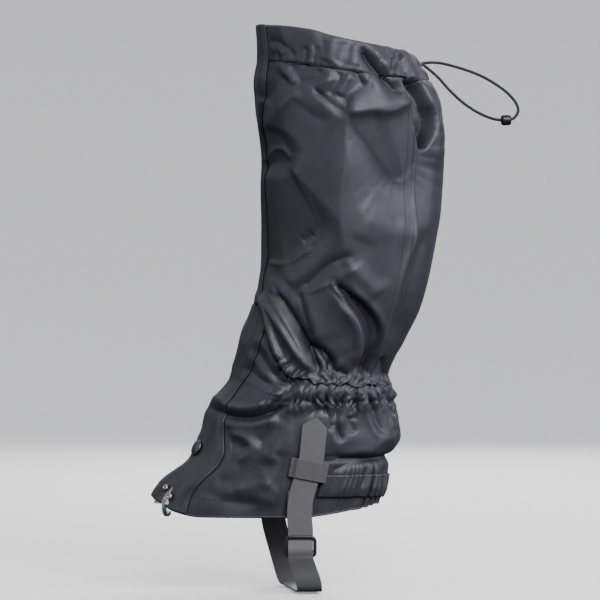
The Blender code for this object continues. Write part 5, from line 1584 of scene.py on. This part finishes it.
def slider():
    """A moulded frame with rounded bars and a thinner bar across it."""
    width, height = SLIDER_SIZE
    radius, bar = SLIDER_CORNER, SLIDER_BAR
    half_w, half_h = width / 2 - bar / 2, height / 2 - bar / 2
    path = []
    for cx, cz, start in ((half_w - radius, half_h - radius, 0), (-half_w + radius, half_h - radius, 90),
                          (-half_w + radius, -half_h + radius, 180), (half_w - radius, -half_h + radius, 270)):
        for k in range(7):
            turn = math.radians(start + 15 * k)
            path.append((cx + radius * math.cos(turn), cz + radius * math.sin(turn)))
    path = np.array(path)
    after, before = np.roll(path, -1, axis=0), np.roll(path, 1, axis=0)
    run = after - before
    out = np.stack([run[:, 1], -run[:, 0]], axis=-1)
    out /= np.linalg.norm(out, axis=1, keepdims=True)
    rings = []
    for k in range(12):
        turn = math.tau * k / 12
        size = (abs(math.cos(turn)) ** 4 + abs(math.sin(turn)) ** 4) ** -0.25
        aside, deep = math.cos(turn) * size * bar / 2, math.sin(turn) * size * (SLIDER_DEPTH + 0.6 * MM) / 2
        ring = path + out * aside
        rings.append(np.stack([ring[:, 0], np.full(len(ring), deep), ring[:, 1]], axis=-1))
    rings = np.array(rings)
    rings = np.concatenate([rings, rings[:, :1]], axis=1)
    mesh = mesh_of_grid("slider_frame", rings, rings[..., (0, 2)], closed=True)
    bm = bmesh.new()
    bm.from_mesh(mesh)
    bmesh.ops.remove_doubles(bm, verts=bm.verts, dist=1e-5)
    low, tall = SLIDER_MIDDLE_BAR
    matrix = Matrix.Translation((0, 0, low + tall / 2)) @ Matrix.Rotation(math.pi / 2, 4, "Y")
    bmesh.ops.create_cone(bm, cap_ends=True, segments=16, radius1=tall / 2, radius2=tall / 2,
                          depth=width - bar, matrix=matrix)
    bmesh.ops.recalc_face_normals(bm, faces=bm.faces)
    for face in bm.faces:
        face.smooth = True
    bm.to_mesh(mesh)
    bm.free()
    obj = new_object("slider_frame", mesh, "black_plastic")
    obj.matrix_world = Matrix.Translation((SLIDER_CENTRE[0], -SLIDER_OUT, SLIDER_CENTRE[1]))
    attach(obj, "instep_strap")
    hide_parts("strap_slider")


# ---- press stud, rivets and the other fittings --------------------------------------------------

STUD_AT = (-0.117, 0.140)
RIVETS_AT = ((-0.1495, 0.1005), (-0.1462, 0.0935))
CAP_RADIUS = 8.5 * MM
RIVET_RADIUS = 3.5 * MM


def fittings():
    """The press stud's cap and the two rivet heads on the lower flap."""
    angle = angle_where(*STUD_AT)
    base, facing = on_surface(angle, STUD_AT[1]), outward(angle, STUD_AT[1])
    top = float(flap_lift(LOWER_SEWN)(angle, STUD_AT[1])) + CLOTH
    cap = rounded_profile([(0, top), (CAP_RADIUS - 0.4 * MM, top), (CAP_RADIUS, top + 0.7 * MM),
                           (CAP_RADIUS - 0.9 * MM, top + 1.9 * MM), (CAP_RADIUS - 2.2 * MM, top + 1.8 * MM),
                           (CAP_RADIUS - 2.8 * MM, top + 2.4 * MM), (CAP_RADIUS * 0.35, top + 3.1 * MM),
                           (0, top + 3.2 * MM)], 0.5 * MM)
    stud = lathe("press_stud_cap", "dark_metal", cap, base, facing, 56)
    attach(stud, "flap_lower")
    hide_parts("stud_cap")
    head = FLAP_LIFT + CLOTH
    for name, (x, z) in zip(("front", "rear"), RIVETS_AT):
        angle = angle_where(x, z)
        base, facing = on_surface(angle, z), outward(angle, z)
        shape = rounded_profile([(0, head - 4 * MM), (1.2 * MM, head - 4 * MM), (1.2 * MM, head),
                                 (RIVET_RADIUS - 0.2 * MM, head), (RIVET_RADIUS, head + 0.6 * MM),
                                 (RIVET_RADIUS - 1.0 * MM, head + 1.5 * MM), (1.5 * MM, head + 1.6 * MM),
                                 (1.1 * MM, head + 0.7 * MM), (0, head + 0.6 * MM)], 0.4 * MM)
        rivet = lathe(f"rivet_{name}_head", "aged_brass", shape, base, facing, 40)
        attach(rivet, "flap_lower")
        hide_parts(f"rivet_{name}")


def lock_spring():
    """The lock's spring, copied as the CAD part has it. The button squeezes it on the real lock, but not here.
    """
    mesh = frame["nodes"]["cord_lock_spring"].data.copy()
    mesh.materials.clear()
    obj = new_object("lock_spring_coil", mesh, "spring_steel")
    axis = np.cross(EXIT_ASIDE, EXIT_FACING)
    axis = axis / np.linalg.norm(axis) * (1 if axis[2] > 0 else -1)
    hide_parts("cord_lock_spring")
    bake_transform(obj)


def carried_over():
    """The CAD nodes that stay as they are: each gets its finish, and softer edges."""
    slot_of = {row["node"]: row["material_slot"] for row in frame["record"]["subparts"]}
    bevelled = {"cord_grommet": 0.15, "cord_lock_barrel": 0.35, "cord_lock_plunger": 0.35, "lace_hook": 0.2,
                "stud_socket": 0.1, "stud_ball": 0.1, "stud_post": 0.1}
    for name, obj in frame["nodes"].items():
        obj.data.materials.clear()
        obj.data.materials.append(MATERIAL_OF_SLOT[slot_of[name]])
        if obj.hide_render:
            continue
        if name in bevelled:
            edges = obj.modifiers.new("edges", "BEVEL")
            edges.width = bevelled[name] * MM
            edges.segments = 3
            edges.limit_method = "ANGLE"
            edges.angle_limit = math.radians(40)
            edges.harden_normals = False


calf()
bottom_fold(foot())
facings()
heel_band()
top_hem()
flaps()
tapes()
strap_under_boot()
strap_tip()
keeper()
anchors()
slider()
fittings()
lock_spring()
carried_over()
studio()
